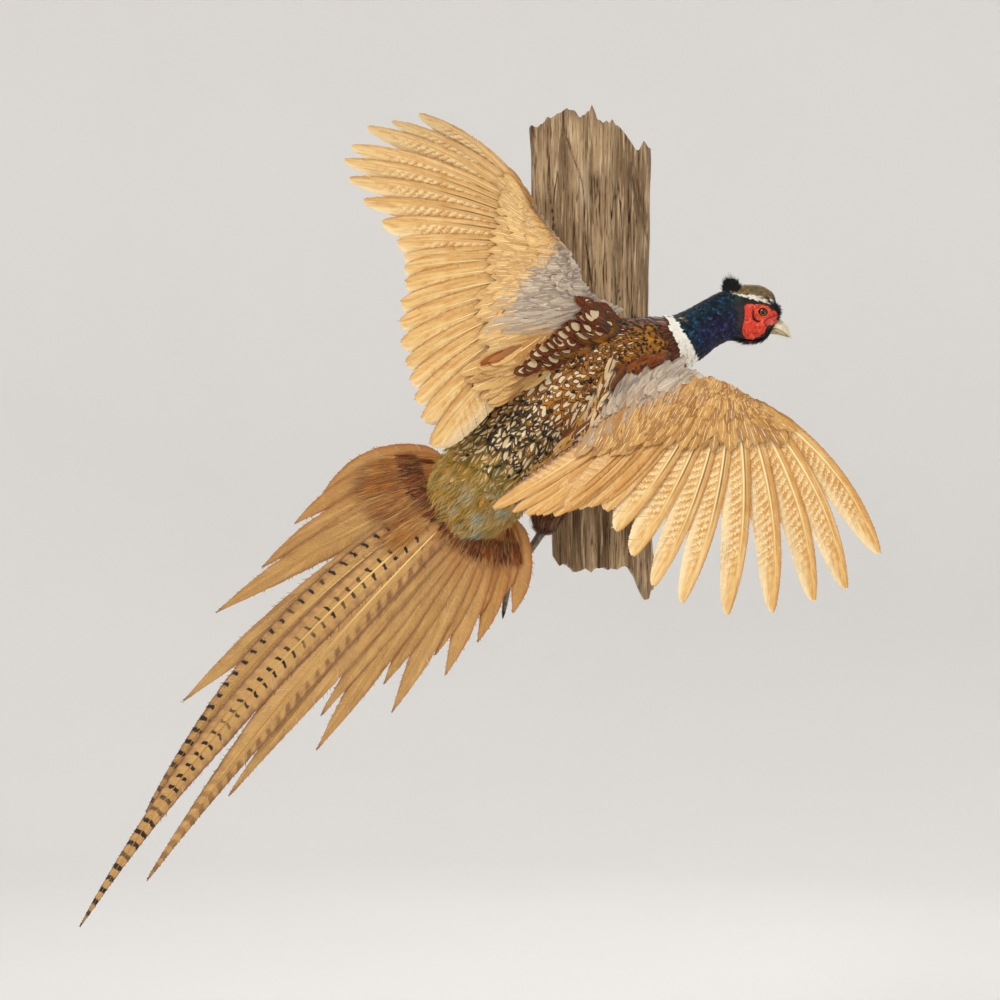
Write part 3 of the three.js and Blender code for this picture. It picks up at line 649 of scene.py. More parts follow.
def lay_feathers(name, lines, outs, width, lift, material, bake_at, seed, rows=8, columns=5, thick=0.00022,
                 camber=0.12, ragged=0.03, base=0.0004, tip_up=0.0, numbers=None, **outline):
    """One mesh of small overlapping feathers, each a thin cambered vane along its line of points.

    width and lift are each feather's half width and how far its tip stands off the skin. The map 'vane' runs
    from 0 to 1 along a feather and from -1 to 1 across it, and 'barb' gives the same in centimetres.
    """
    random = np.random.default_rng(seed)
    count = len(lines)
    shares = np.linspace(0, 1, rows) ** 0.8
    sides = np.linspace(-1, 1, columns)
    centre, out, ahead, across = feather_frame(lines, outs, shares)
    width = np.broadcast_to(np.asarray(width, float), count)[:, None, None, None]
    lift = np.broadcast_to(np.asarray(lift, float), count)[:, None]
    half = round_outline(shares, **outline)[None, :, None, None]
    side = sides[None, None, :, None]
    length = np.linalg.norm(np.diff(lines, axis=1), axis=2).sum(1)[:, None, None, None]
    rise = base + lift * shares[None] + tip_up * lift * np.maximum(shares[None] - 0.6, 0) ** 2 * 6
    rise = rise + random.uniform(-0.0002, 0.0002, (count, 1))
    twist = random.normal(0, 0.06, (count, 1, 1, 1))
    points = centre[:, :, None] + across[:, :, None] * side * half * width
    points = points + out[:, :, None] * (rise[:, :, None, None] - camber * width * half * side ** 2
                                         + twist * side * width * half)
    fray = random.uniform(-1, 0.4, (count, rows, columns, 1)) * ragged
    fray = fray * ramp(shares, 0.55, 0.95)[None, :, None, None]
    fray[:, -1] *= 1.6
    points = points + ahead[:, :, None] * fray * length
    down = out[:, 1:-1, None] * thick
    lower = points[:, 1:-1, 1:-1] - down
    points[:, 1:-1, 1:-1] += down * 0.4
    per_feather = rows * columns + (rows - 2) * (columns - 2)
    cloud = np.concatenate([points.reshape(count, -1, 3), lower.reshape(count, -1, 3)], 1)
    grid = np.stack(np.broadcast_arrays(shares[:, None], sides[None]), -1)
    template = np.concatenate([grid.reshape(-1, 2), grid[1:-1, 1:-1].reshape(-1, 2)])
    vane = np.broadcast_to(template[None], (count, per_feather, 2))
    barb = vane * np.stack([length[:, 0, 0, 0], width[:, 0, 0, 0]], 1)[:, None] * 100
    barb = barb + np.stack([random.uniform(0, 50, count), random.uniform(0, 50, count)], 1)[:, None]
    bake = np.clip(bake_at, 0.004, 0.996)[:, None] + (template[None] * BAKE_STEP - BAKE_STEP / 2 * [1, 0])
    first = (np.arange(count) * per_feather)[:, None, None]
    faces = (sheet_faces(rows, columns) + first).reshape(-1, 4)
    held = {"tone": np.repeat(random.uniform(0, 1, count), per_feather)}
    for key, values in (numbers or {}).items():
        held[key] = np.repeat(per_root(values, count), per_feather, axis=0)
    maps = {"vane": vane.reshape(-1, 2), "barb": barb.reshape(-1, 2), "OFBake": bake.reshape(-1, 2)}
    return make_mesh(name, cloud.reshape(-1, 3), faces, maps=maps, numbers=held, material=material)


def thread_caps(rows):
    """The two ends of a three-sided thread."""
    return np.array([[2, 1, 0], [rows * 3 - 3, rows * 3 - 2, rows * 3 - 1]])


def lay_strands(name, lines, outs, spread, lift, material, bake_at, seed, strands=6, rows=5, thick=0.00035,
                numbers=None, curl=0.0):
    """One mesh of hair-like feathers: each is a tuft of fine tapering strands that part from its root."""
    random = np.random.default_rng(seed)
    count = len(lines)
    shares = np.linspace(0, 1, rows)
    centre, out, _, across = feather_frame(lines, outs, shares)
    lift = np.broadcast_to(np.asarray(lift, float), count)
    spread = np.broadcast_to(np.asarray(spread, float), count)
    aside = random.uniform(-1, 1, (count, strands, 1)) * spread[:, None, None] * shares[None, None] ** 0.8
    aside = (aside + random.normal(0, 0.18, (count, strands, 1)) * spread[:, None, None]
             * shares[None, None] ** 3)
    rise = (random.uniform(0.25, 1.0, (count, strands, 1)) * lift[:, None, None] * shares[None, None]
            + curl * lift[:, None, None] * shares[None, None] ** 3
            * random.uniform(0, 1, (count, strands, 1)))
    reach = random.uniform(0.68, 1.0, (count, strands, 1, 1))
    root = centre[:, None, :1]
    spine = root + (centre[:, None] - root) * reach + across[:, None] * aside[..., None]
    spine = spine + out[:, None] * (rise + 0.0003)[..., None]
    girth = (thick * np.interp(shares, [0, 0.4, 1], [0.7, 1.0, 0.12]))[None, None, :, None]
    corners = [(1.0, 0.0), (-1.0, 0.0), (0.0, 0.6)]
    ring = [spine + across[:, None] * girth * x + out[:, None] * girth * y for x, y in corners]
    cloud = np.stack(ring, 3).reshape(count * strands, rows * 3, 3)
    offset = (np.arange(count * strands) * rows * 3)[:, None, None]
    share_map = np.repeat(shares, 3)
    side_map = np.repeat(random.uniform(-1, 1, count * strands), rows * 3)
    vane = np.stack([np.tile(share_map, count * strands), side_map], 1)
    barb = vane * 3 + np.repeat(random.uniform(0, 50, count * strands), rows * 3)[:, None]
    bake = np.repeat(np.clip(bake_at, 0.004, 0.996), strands * rows * 3, axis=0)
    bake = bake + (vane - [0.5, 0]) * BAKE_STEP
    held = {"tone": np.repeat(np.repeat(random.uniform(0, 1, count), strands)
                              + random.normal(0, 0.12, count * strands), rows * 3)}
    for key, values in (numbers or {}).items():
        held[key] = np.repeat(per_root(values, count), strands * rows * 3, axis=0)
    return make_mesh(name, cloud.reshape(-1, 3), (round_faces(rows, 3) + offset).reshape(-1, 4),
                     (thread_caps(rows) + offset).reshape(-1, 3),
                     {"vane": vane, "barb": barb, "OFBake": bake}, held, material)

# ---- tail ------------------------------------------------------------------------------------------------
# Eleven or twelve feathers a side, each a hollow quill with a vane of barbs on both sides. The middle ones
# lie on top and every feather lies over the next one out. The long ones are barred with black.

TAIL_ROOT = np.array([-113, -114, -136]) * 0.001
TAIL_BEARING, TAIL_FALL, TAIL_SPACING = 228.5, 4, 0.0045
TAIL_SIDES = {
    "left": {"side": 1, "longest": 0.582, "ratio": 0.782, "spread": [0.5, 3.3, 10.8, 20, 23.3, 30.3, 37],
             "sweep": [0.094, 0.125, 0.04, 0.05, 0.13, 0.21, 0.34]},
    "right": {"side": -1, "longest": 0.505, "ratio": 0.77, "spread": [1.1, 1.5, 7.7, 16.7, 25.7, 33, 47],
              "sweep": [-0.05, -0.02, 0, 0.03, 0.06, 0.14, 0.26]},
}


def shaft_curve(root, bearing, rise, length, arch, sweep):
    """Root, bow and tip of a quill's curve: it arches towards the room and sweeps aside in its own plane."""
    bearing, rise = math.radians(bearing), math.radians(rise)
    way = np.array([math.cos(bearing) * math.cos(rise), -math.sin(rise),
                    math.sin(bearing) * math.cos(rise)])
    aside = unit(np.cross(ROOMWARD, way))
    tip = root + way * length
    bow = (root + tip) / 2 + ROOMWARD * arch * length + aside * sweep * length
    return np.stack([root, bow, tip])


def bent(curve, t):
    """Points at t along root, bow and tip."""
    root, bow, tip = (curve[..., k, :] for k in range(3))
    return root * (1 - t) ** 2 + bow * 2 * t * (1 - t) + tip * t * t


def along_curve(curve, share):
    """Points along root, bow and tip; beyond either end the curve runs on straight."""
    share = np.asarray(share, float)[..., None]
    t = np.clip(share, 0, 1)
    return bent(curve, t) + (curve[2] - curve[1]) * 2 * (share - t)


def curve_length(curve):
    return float(np.linalg.norm(np.diff(along_curve(curve, np.linspace(0, 1, 33)), axis=0), axis=1).sum())


def barb_reach(starts, length, half, profile, slope):
    """How far aside each barb reaches, so that leaning barbs end on the feather's outline."""
    reach = np.full(len(starts), half * 0.5)
    for _ in range(14):
        share = np.clip((starts + slope * reach) / length, 0, 1)
        reach = 0.5 * reach + 0.5 * half * profile(share)
    return reach


def tube(spine, radii, across, out, sides=6, flat=0.8):
    """Points and faces of a closed tapering tube along a line."""
    turns = np.linspace(0, 2 * math.pi, sides + 1)[:-1]
    ring = (across[:, None] * np.cos(turns)[None, :, None]
            + out[:, None] * np.sin(turns)[None, :, None] * flat)
    points = (spine[:, None] + ring * radii[:, None, None]).reshape(-1, 3)
    points = np.concatenate([points, spine[[0, -1]]])
    return points, round_faces(len(spine), sides), end_caps(len(spine), sides)


VANE_BELOW, VANE_ABOVE = 0.00028, 0.00012       # the vane's thickness on either side of its barbs
BARB_GIRTH = 0.00042


def quilled(name, curve, toward, widths, profile, material, seed, begin=0.0, tilt=0.09, pitch=0.0024,
            slope=0.8, ragged=0.04, splits=6, gap=0.0004, rachis=0.0012, lift=0.0, camber=0.05, columns=7,
            numbers=None, downy=0.0, hairs=0.0012, hair_reach=0.16):
    """A whole flight or tail feather. toward gives the way to its leading side at shares of its length.

    widths are the reaches of its leading and trailing vanes. Each vane is made of panels of barbs that have
    hooked together and parted from the next panel; ragged, splits and gap say how untidy it is. The map
    'vane' holds the distance along the quill where a barb starts and the distance aside, in decimetres.
    Loose barb ends stand out all along the edges, hairs metres apart.
    """
    random = np.random.default_rng(seed)
    length = curve_length(curve)
    cloud, quads, caps, maps, edge, quill = [], [], [], [], [], []
    count = 0

    def frame_at(share):
        ahead = unit(along_curve(curve, share + 0.004) - along_curve(curve, share - 0.004))
        way = toward(share)
        way = unit(way - ahead * (way * ahead).sum(-1, keepdims=True))
        out = np.cross(ahead, way)
        out = out * np.where((out @ ROOMWARD) < 0, -1, 1)[..., None]
        return ahead, way, out

    starts = np.arange(begin, length - 0.0004, pitch)
    for side, half in zip((1, -1), widths):
        reach = barb_reach(starts, length, half, profile, slope)
        reach = np.maximum(reach, 0.0005) * ramp(starts, begin - 0.012, begin + 0.012)
        reach = reach * (1 - ragged * random.uniform(0, 1, len(starts)) ** 2
                         - 0.5 * ragged * random.uniform(0, 1, len(starts)))
        cuts = np.sort(random.choice(np.arange(4, len(starts) - 4), splits, replace=False))
        cuts = np.unique(np.concatenate([[0], cuts[np.diff(cuts, prepend=-9) > 3], [len(starts) - 1]]))
        fractions = np.linspace(0, 1, columns) ** 0.9
        for first, last in zip(cuts[:-1], cuts[1:]):
            rows = np.arange(first, last + 1)
            if len(rows) < 3:
                rows = np.arange(first, min(first + 3, len(starts)))
                if len(rows) < 3:
                    continue
            middle_row = np.linspace(-1, 1, len(rows))
            aside = reach[rows][:, None] * fractions[None]
            down_soft = ramp(starts[rows], begin + 0.035, begin) * downy
            shift = -middle_row[:, None] * gap * fractions[None] ** 2 * min(1.0, reach[rows].mean() / 0.010)
            share = (starts[rows][:, None] + slope * aside + shift) / length
            centre = along_curve(curve, share)
            _, way, out = frame_at(share.ravel())
            way, out = way.reshape(*share.shape, 3), out.reshape(*share.shape, 3)
            ripple = random.normal(0, 0.00018) * fractions[None, :, None] * 2
            height = (lift + side * tilt * aside - camber * aside * fractions[None]
                      + down_soft[:, None] * 0.002 * fractions[None])[..., None] + ripple
            mid = centre + way * (side * aside)[..., None] + out * height
            lower = mid[1:-1, 1:-1] - out[1:-1, 1:-1] * VANE_BELOW
            mid[1:-1, 1:-1] += out[1:-1, 1:-1] * VANE_ABOVE
            faces = sheet_faces(len(rows), columns) + count
            cloud += [mid.reshape(-1, 3), lower.reshape(-1, 3)]
            quads.append(faces if side > 0 else faces[:, ::-1])
            place = np.stack([np.broadcast_to(starts[rows][:, None], aside.shape), side * aside], -1) * 10
            maps += [place.reshape(-1, 2), place[1:-1, 1:-1].reshape(-1, 2)]
            fraction = np.broadcast_to(side * fractions[None], aside.shape)
            edge += [fraction.ravel(), fraction[1:-1, 1:-1].ravel()]
            added = mid.size // 3 + lower.size // 3
            quill.append(np.zeros(added))
            count += added
        # The loose ends of single barbs, each a tapering three-sided thread.
        ends = np.arange(begin + 0.004, length - 0.002, hairs)
        ends = ends + random.uniform(-0.4, 0.4, len(ends)) * hairs
        full = np.interp(ends, starts, reach)
        inner = full * random.uniform(0.62, 0.86, len(ends))
        outer = full * (1.0 + hair_reach * random.uniform(-0.35, 1.0, len(ends)) ** 2) + 0.0003
        part = np.linspace(0, 1, 4)
        aside = inner[:, None] + (outer - inner)[:, None] * part
        sag = random.normal(0, 0.0011, len(ends))[:, None] * part ** 2
        share = (ends[:, None] + slope * aside + sag) / length
        centre = along_curve(curve, share)
        ahead, way, out = (part_frame.reshape(*share.shape, 3) for part_frame in frame_at(share.ravel()))
        height = (lift + side * tilt * aside - camber * aside * aside / np.maximum(full, 0.002)[:, None]
                  + 0.0001 + random.uniform(-0.0004, 0.0007, len(ends))[:, None] * part)
        spine = centre + way * (side * aside)[..., None] + out * height[..., None]
        girth = (BARB_GIRTH * np.array([0.7, 1.0, 0.75, 0.12])[None, :, None]
                 * random.uniform(0.7, 1.2, (len(ends), 1, 1)))
        lean = unit(ahead * 0.75 - way * side)
        ring = np.stack([spine + lean * girth, spine - lean * girth, spine + out * girth * 0.5], 2)
        shift = (count + np.arange(len(ends)) * 12)[:, None, None]
        cloud.append(ring.reshape(-1, 3))
        quads.append((round_faces(4, 3) + shift).reshape(-1, 4))
        caps.append((thread_caps(4) + shift).reshape(-1, 3))
        place = np.stack([np.broadcast_to(ends[:, None], aside.shape), side * aside], -1) * 10
        maps.append(np.repeat(place.reshape(-1, 2), 3, axis=0))
        edge.append(np.repeat((side * aside / np.maximum(full, 0.001)[:, None]).ravel(), 3))
        quill.append(np.zeros(len(ends) * 12))
        count += len(ends) * 12
    knots = np.linspace(0, (length - 0.001) / length, max(24, int(length / 0.008)))
    spine = along_curve(curve, knots)
    _, way, out = frame_at(knots)
    radii = np.interp(knots, [-0.1, 0.05, 0.5, 0.85, 1], np.array([0.9, 1, 0.62, 0.3, 0.1])) * rachis
    points, shaft_quads, shaft_caps = tube(spine + out * (lift + 0.12 * radii)[:, None], radii, way, out)
    cloud.append(points)
    quads.append(shaft_quads + count)
    caps.append(shaft_caps + count)
    quill.append(np.ones(len(points)))
    edge.append(np.zeros(len(points)))
    share = np.concatenate([np.repeat(knots, 6), knots[[0, -1]]])
    maps.append(np.stack([share * length * 10, np.zeros(len(points))], 1))
    place = np.concatenate(maps)
    held = {"quill": np.concatenate(quill), "edge": np.concatenate(edge),
            "share": place[:, 0] / 10 / length, "tone": np.full(len(place), random.uniform())}
    for key, value in (numbers or {}).items():
        held[key] = np.full(len(place), float(value))
    return make_mesh(name, np.concatenate(cloud), np.concatenate(quads), np.concatenate(caps),
                     {"vane": place}, held, material)


def streaks_along_barbs(finish, along, aside, fine=260.0):
    """Streaks that follow the barbs, in the vane map's decimetres."""
    return finish.noise(finish.pack(along, aside * 0.09), fine, 2.5, 0.6)


def tail_finish(name, bars=None, worms=0.5, worm_scale=90.0, fringe_and_edge_shadow=0.0):
    """bars: black or brown bars across the vanes; worms: fine dark wavy lines; fringe: dark mauve edges,
    partly the feather's own mauve edging and partly painted shadow along the vane's edge.
    """
    vane = Finish(name, Roughness=0.6, Sheen_Weight=0.12, Specular_IOR_Level=0.35)
    along, aside = vane.map("vane")
    edge, share, tone, quill, outer_pair = (vane.held(k)
                                            for k in ("edge", "share", "tone", "quill", "outer_pair"))
    off_middle, reach_aside = abs(edge), abs(aside)
    barbs = streaks_along_barbs(vane, along, aside)
    down_vane = vane.noise(vane.pack(along * 0.6, aside * 14,
                                     tone * 9), 2.2, 3, 0.6)
    colour = vane.mix(vane.ramp(tone, 0.1, 0.9), (192, 148, 88), (182, 136, 74))
    colour = vane.over(
        colour, (vane.ramp(down_vane, 0.48, 0.72) * 0.6, (214, 172, 108)),
        (vane.ramp(down_vane, 0.47, 0.3) * 0.55, (146, 100, 52)))
    # Fine dark worms that wander across the barbs.
    wander = vane.noise(vane.pack(along, aside * 1.6, tone), worm_scale, 1.5, 0.5, 1.4)
    wormy = vane.band(wander, 0.5, 0.012, 0.045) * vane.ramp(off_middle, 0.03, 0.16)
    patchy = vane.ramp(vane.noise(vane.pack(along, aside, tone), 5.5, 1), 0.36, 0.56)
    wormy = wormy * worms * (patchy * 0.75 + 0.25)
    colour = vane.over(
        colour, (wormy, (104, 70, 36)),
        (vane.ramp(barbs, 0.50, 0.74) * 0.55, (226, 186, 124)),
        (vane.ramp(barbs, 0.47, 0.24) * 0.6, (128, 86, 42)))
    # The outer feathers are more orange, all of them at their edges and roots.
    orange = vane.ramp(off_middle, 0.55, 0.98) * (outer_pair * 0.5 + 0.2)
    colour = vane.over(
        colour, (orange, (176, 108, 46)),
        (outer_pair * 0.15, (190, 124, 62)))
    base_rust = vane.ramp(along + down_vane * 0.6, 1.35, 0.65)
    colour = vane.mix(base_rust * 0.3, colour, (168, 98, 46))
    # Dark mauve at the vane's edges: partly the feather's own mauve edging and partly painted shadow along
    # the edge.
    ragged_edge = off_middle + 0.25 * (barbs - 0.5)
    mauve = vane.ramp(ragged_edge, 0.80, 0.97) * fringe_and_edge_shadow
    colour = vane.mix(mauve, colour, (104, 68, 56))
    if bars:
        # Bars run straight out from the quill. They shorten to short dashes on the broad part.
        across_place = along + reach_aside * bars["lean"]
        wobble = vane.noise(vane.pack(along, edge * 0.3), 9, 1)
        across_place = across_place + 0.05 * (wobble - 0.5)
        phase = vane.calc("FRACT", across_place / (bars["spacing"] * 10))
        thick = vane.add("MapRange", {"Value": share, "From Min": 0.55, "From Max": 0.95,
                                      "To Min": bars["width"], "To Max": bars["width"] * 1.9})
        bar = vane.band(phase, 0.5, thick, bars["soft"])
        narrow_tip = vane.ramp(share, 0.66, 0.84)
        frayed = off_middle + 0.3 * (wobble - 0.5)
        until = vane.add("MapRange", {"Value": narrow_tip, "To Min": bars["until"], "To Max": 1.1})
        after = vane.add("MapRange", {"Value": narrow_tip, "To Min": bars["after"], "To Max": -0.2})
        bar = bar * (vane.ramp(frayed - until, 0.08, -0.04) * vane.ramp(frayed - after, -0.05, 0.06))
        if bars["outer_only"]:
            bar = bar * vane.calc("MAXIMUM", vane.ramp(edge, -0.02, 0.02), narrow_tip)
        fade = vane.ramp(vane.noise(vane.pack(along * 0.8, 0.0, tone), 4, 1), 0.28, 0.5)
        bar = bar * (fade * 0.4 + 0.6)
        bar = bar * vane.ramp(along, 0.5, 0.75)
        smudge = vane.band(phase, 0.5, 0.16, 0.3) * vane.ramp(off_middle, 0.35, 0.85)
        if bars["outer_only"]:
            smudge = smudge * vane.ramp(edge, -0.02, 0.02)
        colour = vane.over(
            colour, (smudge * 0.40, (118, 76, 56)),
            (bar * bars["strength"], bars["colour"]))
    colour = vane.mix(vane.ramp(share, 0.94, 1.0) * 0.6, colour, (84, 54, 32))
    shaft = vane.mix(vane.ramp(share, 0.22, 0.6), (236, 200, 124), (176, 128, 66))
    colour = vane.mix(quill * (outer_pair * -0.55 + 1.0), colour, shaft)
    height = barbs * 1.0 + wormy * -0.2
    return vane.wear(colour, vane.ramp(barbs, -0.6, 1.6), height, 0.5, 0.0006)


long_barred = tail_finish("long_tail_barred", {
    "spacing": 0.0137, "width": 0.095, "soft": 0.045, "lean": 0.72, "after": 0.06, "until": 0.46,
    "outer_only": False, "colour": (34, 22, 16), "strength": 1.0}, 0.3, 46.0, 0.7)
second_barred = tail_finish("second_tail_barred", {
    "spacing": 0.0137, "width": 0.095, "soft": 0.045, "lean": 0.72, "after": 0.42, "until": 0.86,
    "outer_only": True, "colour": (34, 22, 16), "strength": 1.0}, 0.75, 40.0, 0.7)
crescent_tail = tail_finish("third_tail_crescents", {
    "spacing": 0.0150, "width": 0.10, "soft": 0.16, "lean": 0.2, "after": 0.42, "until": 0.80,
    "outer_only": True, "colour": (104, 66, 36), "strength": 0.6}, 0.6, 80.0, 0.6)
plain_tail = tail_finish("side_tail_worm_marked", None, 0.7, 92.0, 0.25)


def blade(share):
    """Side feathers keep their breadth for two thirds of their length and run out to a fine tip."""
    return np.interp(share, [0, 0.06, 0.3, 0.55, 0.75, 0.88, 0.96, 1],
                     [0.75, 0.95, 1.0, 0.94, 0.70, 0.38, 0.13, 0.02])


def narrowing(share):
    """The long middle feathers narrow steadily over their last two thirds and end in a thread."""
    return np.interp(share, [0, 0.08, 0.35, 0.6, 0.8, 0.9, 0.97, 1],
                     [0.75, 0.95, 1.0, 0.86, 0.45, 0.25, 0.12, 0.02])


def tail_curve(side, order):
    """A tail feather's curve; an order between two whole ones lies between those feathers."""
    pair = TAIL_SIDES[side]
    sign = pair["side"]
    bearing = math.radians(TAIL_BEARING)
    left = np.array([math.sin(bearing), 0, -math.cos(bearing)])
    root = TAIL_ROOT + left * sign * TAIL_SPACING * (order + 0.5)
    spread, sweep = (np.interp(order, range(7), pair[key]) for key in ("spread", "sweep"))
    return shaft_curve(root, TAIL_BEARING - sign * spread, -TAIL_FALL,
                       pair["longest"] * pair["ratio"] ** order, 0.012, -sign * sweep), left


TAIL_ORDERS = {"left": [0, 1, 2, 3, 3.5, 4, 4.5, 5, 5.5, 6],
               "right": [0, 1, 1.55, 2, 2.5, 3, 3.5, 4, 4.5, 5, 5.5, 6]}
TAIL_LIFT = {("left", 0): 0.0042, ("left", 1): 0.0018, ("right", 0): 0.0030, ("right", 1): 0.0012}
TAIL_FINISH = {("left", 0): long_barred, ("left", 1): second_barred, ("right", 0): crescent_tail}
tail_pieces = {"tail_left_fan": [], "tail_right_fan": [], "tail_centre": []}
for side, orders in TAIL_ORDERS.items():
    sign = TAIL_SIDES[side]["side"]
    for number, order in enumerate(orders):
        curve, left = tail_curve(side, order)
        if order % 1:
            curve = curve[0] + (curve - curve[0]) * 0.80
        is_long = order < 2
        # A feather lies over the next one out, so its outer vane is the raised one.
        toward = lambda share, way=left * sign: np.broadcast_to(way, (*np.shape(share), 3))
        half = 0.0165 if is_long else 0.0168 - 0.0006 * order
        size = curve_length(curve)
        piece = quilled(f"tail_{side}_{number + 1}", curve, toward, (half * 0.92, half),
                        narrowing if is_long else blade, TAIL_FINISH.get((side, order), plain_tail),
                        100 + int(order * 4) + 31 * (sign > 0), begin=0.008, tilt=0.045, slope=0.95,
                        pitch=0.0030, ragged=0.05, splits=int(4 + size * 22), gap=0.0002,
                        rachis=0.0010 if is_long else 0.0008, hairs=0.0021, hair_reach=0.22,
                        lift=TAIL_LIFT.get((side, order), -0.0004 - 0.0016 * (order - 1.4)),
                        numbers={"outer_pair": ramp(order, 2.5, 5.0)})
        rest(piece, "tail_feathers")
        tail_pieces["tail_centre" if is_long else f"tail_{side}_fan"].append(piece)
for node, pieces in tail_pieces.items():
    for piece in pieces:
        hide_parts(node)

# ---- wings -------------------------------------------------------------------------------------------------
# Each wing has ten primaries on the hand and ten secondaries on the forearm, their quills set in the skin.
# Seen from the back, every feather lies over the next one out. Rows of coverts roof over the quills above
# and below: long lilac-grey ones near the shoulder, narrow golden ones with pale quills further out.

WINGS = {"left": {"shoulder": (6, -146, -1), "elbow": (-50, -185, 15), "wrist": (-33, -212, 76),
                  "finger": (-65, -228, 121), "web": (-15, -190, 42), "front": (22, -140, 22),
                  "sweep": -0.16, "primary_bearing": [180, 177, 172.5, 168.5, 165, 162, 159,
                                                      153.5, 149.5, 143],
                  "primary_length": [148, 151, 162, 178, 191, 194, 187, 177, 157, 138],
                  "primary_rise": [1, 2, 3, 4, 6, 8, 10, 13, 18, 25],
                  "secondary_bearing": [183, 186, 190.5, 195, 200, 205, 209.5, 214.5, 220, 227],
                  "secondary_length": [147, 146, 150, 152, 153, 152, 152, 152, 153, 158],
                  "secondary_rise": [0, 0, -1, -1, -1, -2, -2, -2, -2, -3],},
         "right": {"shoulder": (20, -146, -34), "elbow": (45, -200, -58), "wrist": (92, -246, -43),
                   "finger": (142, -258, -63), "web": (60, -206, -26), "front": (40, -150, -20),
                   "sweep": 0.16, "primary_bearing": [233, 238, 244.5, 251.5, 258.5, 269, 279.5,
                                                      289.5, 297.5, 310],
                   "primary_length": [150, 160, 173, 192, 198, 202, 200, 196, 192, 176],
                   "primary_rise": [-14, -13, -12, -10, -9, -8, -8, -8, -7, -7],
                   "secondary_bearing": [229.5, 228.5, 227.5, 226, 225, 223, 222, 221, 218, 214],
                   "secondary_length": [145, 149, 153, 157, 162, 164, 165, 166, 169, 178],
                   "secondary_rise": [-14, -13, -12, -10, -9, -8, -7, -6, -5, -4],},}
COVERED = {"arm": (0.060, 0.076), "hand": (0.030, 0.058)}     # quill covered: outermost and innermost feather
ARM_OUTLINE = {"chord": [0, 0.1, 0.36, 0.7, 1], "upper": [0, 0.42, 0.55, 0.3, 0.05],
               "lower_chord": [0, 0.15, 0.6, 1], "lower": [0, 0.40, 0.24, 0.05]}


def wing_shape(wing):
    """The wing's quill curves, from the innermost secondary (0) to the outermost primary (19), and edges."""
    joints = {key: np.array(wing[key]) * 0.001
              for key in ("shoulder", "elbow", "wrist", "finger", "web", "front")}
    curves = []
    for index in range(9, -1, -1):
        root = joints["wrist"] + (joints["elbow"] - joints["wrist"]) * (index + 0.5) / 10
        curves.append(shaft_curve(root, wing["secondary_bearing"][index], wing["secondary_rise"][index],
                                  wing["secondary_length"][index] * 0.001, 0.05, wing["sweep"] * 0.3))
    for index in range(10):
        root = joints["wrist"] + (joints["finger"] - joints["wrist"]) * index / 9
        curves.append(shaft_curve(root, wing["primary_bearing"][index], wing["primary_rise"][index],
                                  wing["primary_length"][index] * 0.001, 0.05,
                                  wing["sweep"] * (0.3 + 0.7 * index / 9)))
    curves = np.array(curves)

    def ahead_of(root, index, reach):
        return root - unit(curves[index][1] - curves[index][0]) * reach

    edge = np.array([ahead_of(joints["finger"], 19, 0.004),
                     ahead_of((joints["wrist"] + joints["finger"]) / 2, 15, 0.005),
                     ahead_of(joints["wrist"], 10, 0.003), joints["web"], joints["front"]])
    lengths = np.array([curve_length(curve) for curve in curves])
    index = np.arange(20)
    covered = np.where(index < 10, np.interp(index, [0, 9], COVERED["arm"][::-1]),
                       np.interp(index, [10, 19], COVERED["hand"][::-1]))
    front_place = np.where(index > 9, (19 - index) / 9 * 0.5, 0.5 + (10 - index) / 10 * 0.42)
    front = spline(edge, front_place * 4)
    trail = np.array([along_curve(curves[i], covered[i] / lengths[i]) for i in index])
    thick = (np.where(index > 9, np.interp(index, [10, 19], [13, 8]), np.interp(index, [0, 10], [22, 13]))
             * 0.001)
    return {"curves": curves, "lengths": lengths, "covered": covered, "front": front, "trail": trail,
            "thick": thick}


def along_wing(values, place):
    """Values of the 20 quills read at places between them, without overshooting."""
    values = np.asarray(values)
    place = np.clip(place, 0, 19)
    first = np.minimum(place.astype(int), 18)
    part = (place - first).reshape(place.shape + (1,) * (values.ndim - 1))
    return values[first] * (1 - part) + values[first + 1] * part


def across_wing(shape, place, share):
    """The way to the wing tip, across the quills."""
    ends = []
    for step in (-1.0, 1.0):
        curve = along_wing(shape["curves"], np.clip(place + step, 0, 19))
        ends.append(bent(curve, np.clip(share, 0, 1)[..., None]))
    return unit(ends[1] - ends[0])


def wing_surface(shape, place, distance, upper):
    """Points on the wing's upper or under side, distance metres back from its front edge, and the way out.

    The line runs from the front edge over the arm's flesh and then along the quill."""
    front, trail = along_wing(shape["front"], place), along_wing(shape["trail"], place)
    chord = np.linalg.norm(trail - front, axis=-1)
    share = distance / chord
    covered, length = along_wing(shape["covered"], place), along_wing(shape["lengths"], place)
    quill_share = (covered + np.maximum(distance - chord, 0)) / length
    curve = along_wing(shape["curves"], place)
    t = quill_share[..., None]
    on_quill = bent(curve, t)
    on_chord = front + (trail - front) * np.clip(share, -0.5, 1)[..., None]
    points = np.where((share > 1)[..., None], on_quill, on_chord)
    span = across_wing(shape, place, np.clip(quill_share, 0.3, 1))
    way = np.where((share > 1)[..., None], 2 * (1 - t) * (curve[..., 1, :] - curve[..., 0, :])
                   + 2 * t * (curve[..., 2, :] - curve[..., 1, :]), trail - front)
    out = unit(np.cross(way, span))
    out = out * np.where((out @ ROOMWARD) < 0, -1, 1)[..., None]
    thick = along_wing(shape["thick"], place)
    if upper:
        height = (np.interp(share, ARM_OUTLINE["chord"] + [1.5], ARM_OUTLINE["upper"] + [0.05]) * thick
                  * 0.92)
        return points + out * (height + 0.0008)[..., None], out
    height = (np.interp(share, ARM_OUTLINE["lower_chord"] + [1.5], ARM_OUTLINE["lower"] + [0.05]) * thick
              * 0.92)
    return points - out * (height + 0.0008)[..., None], -out


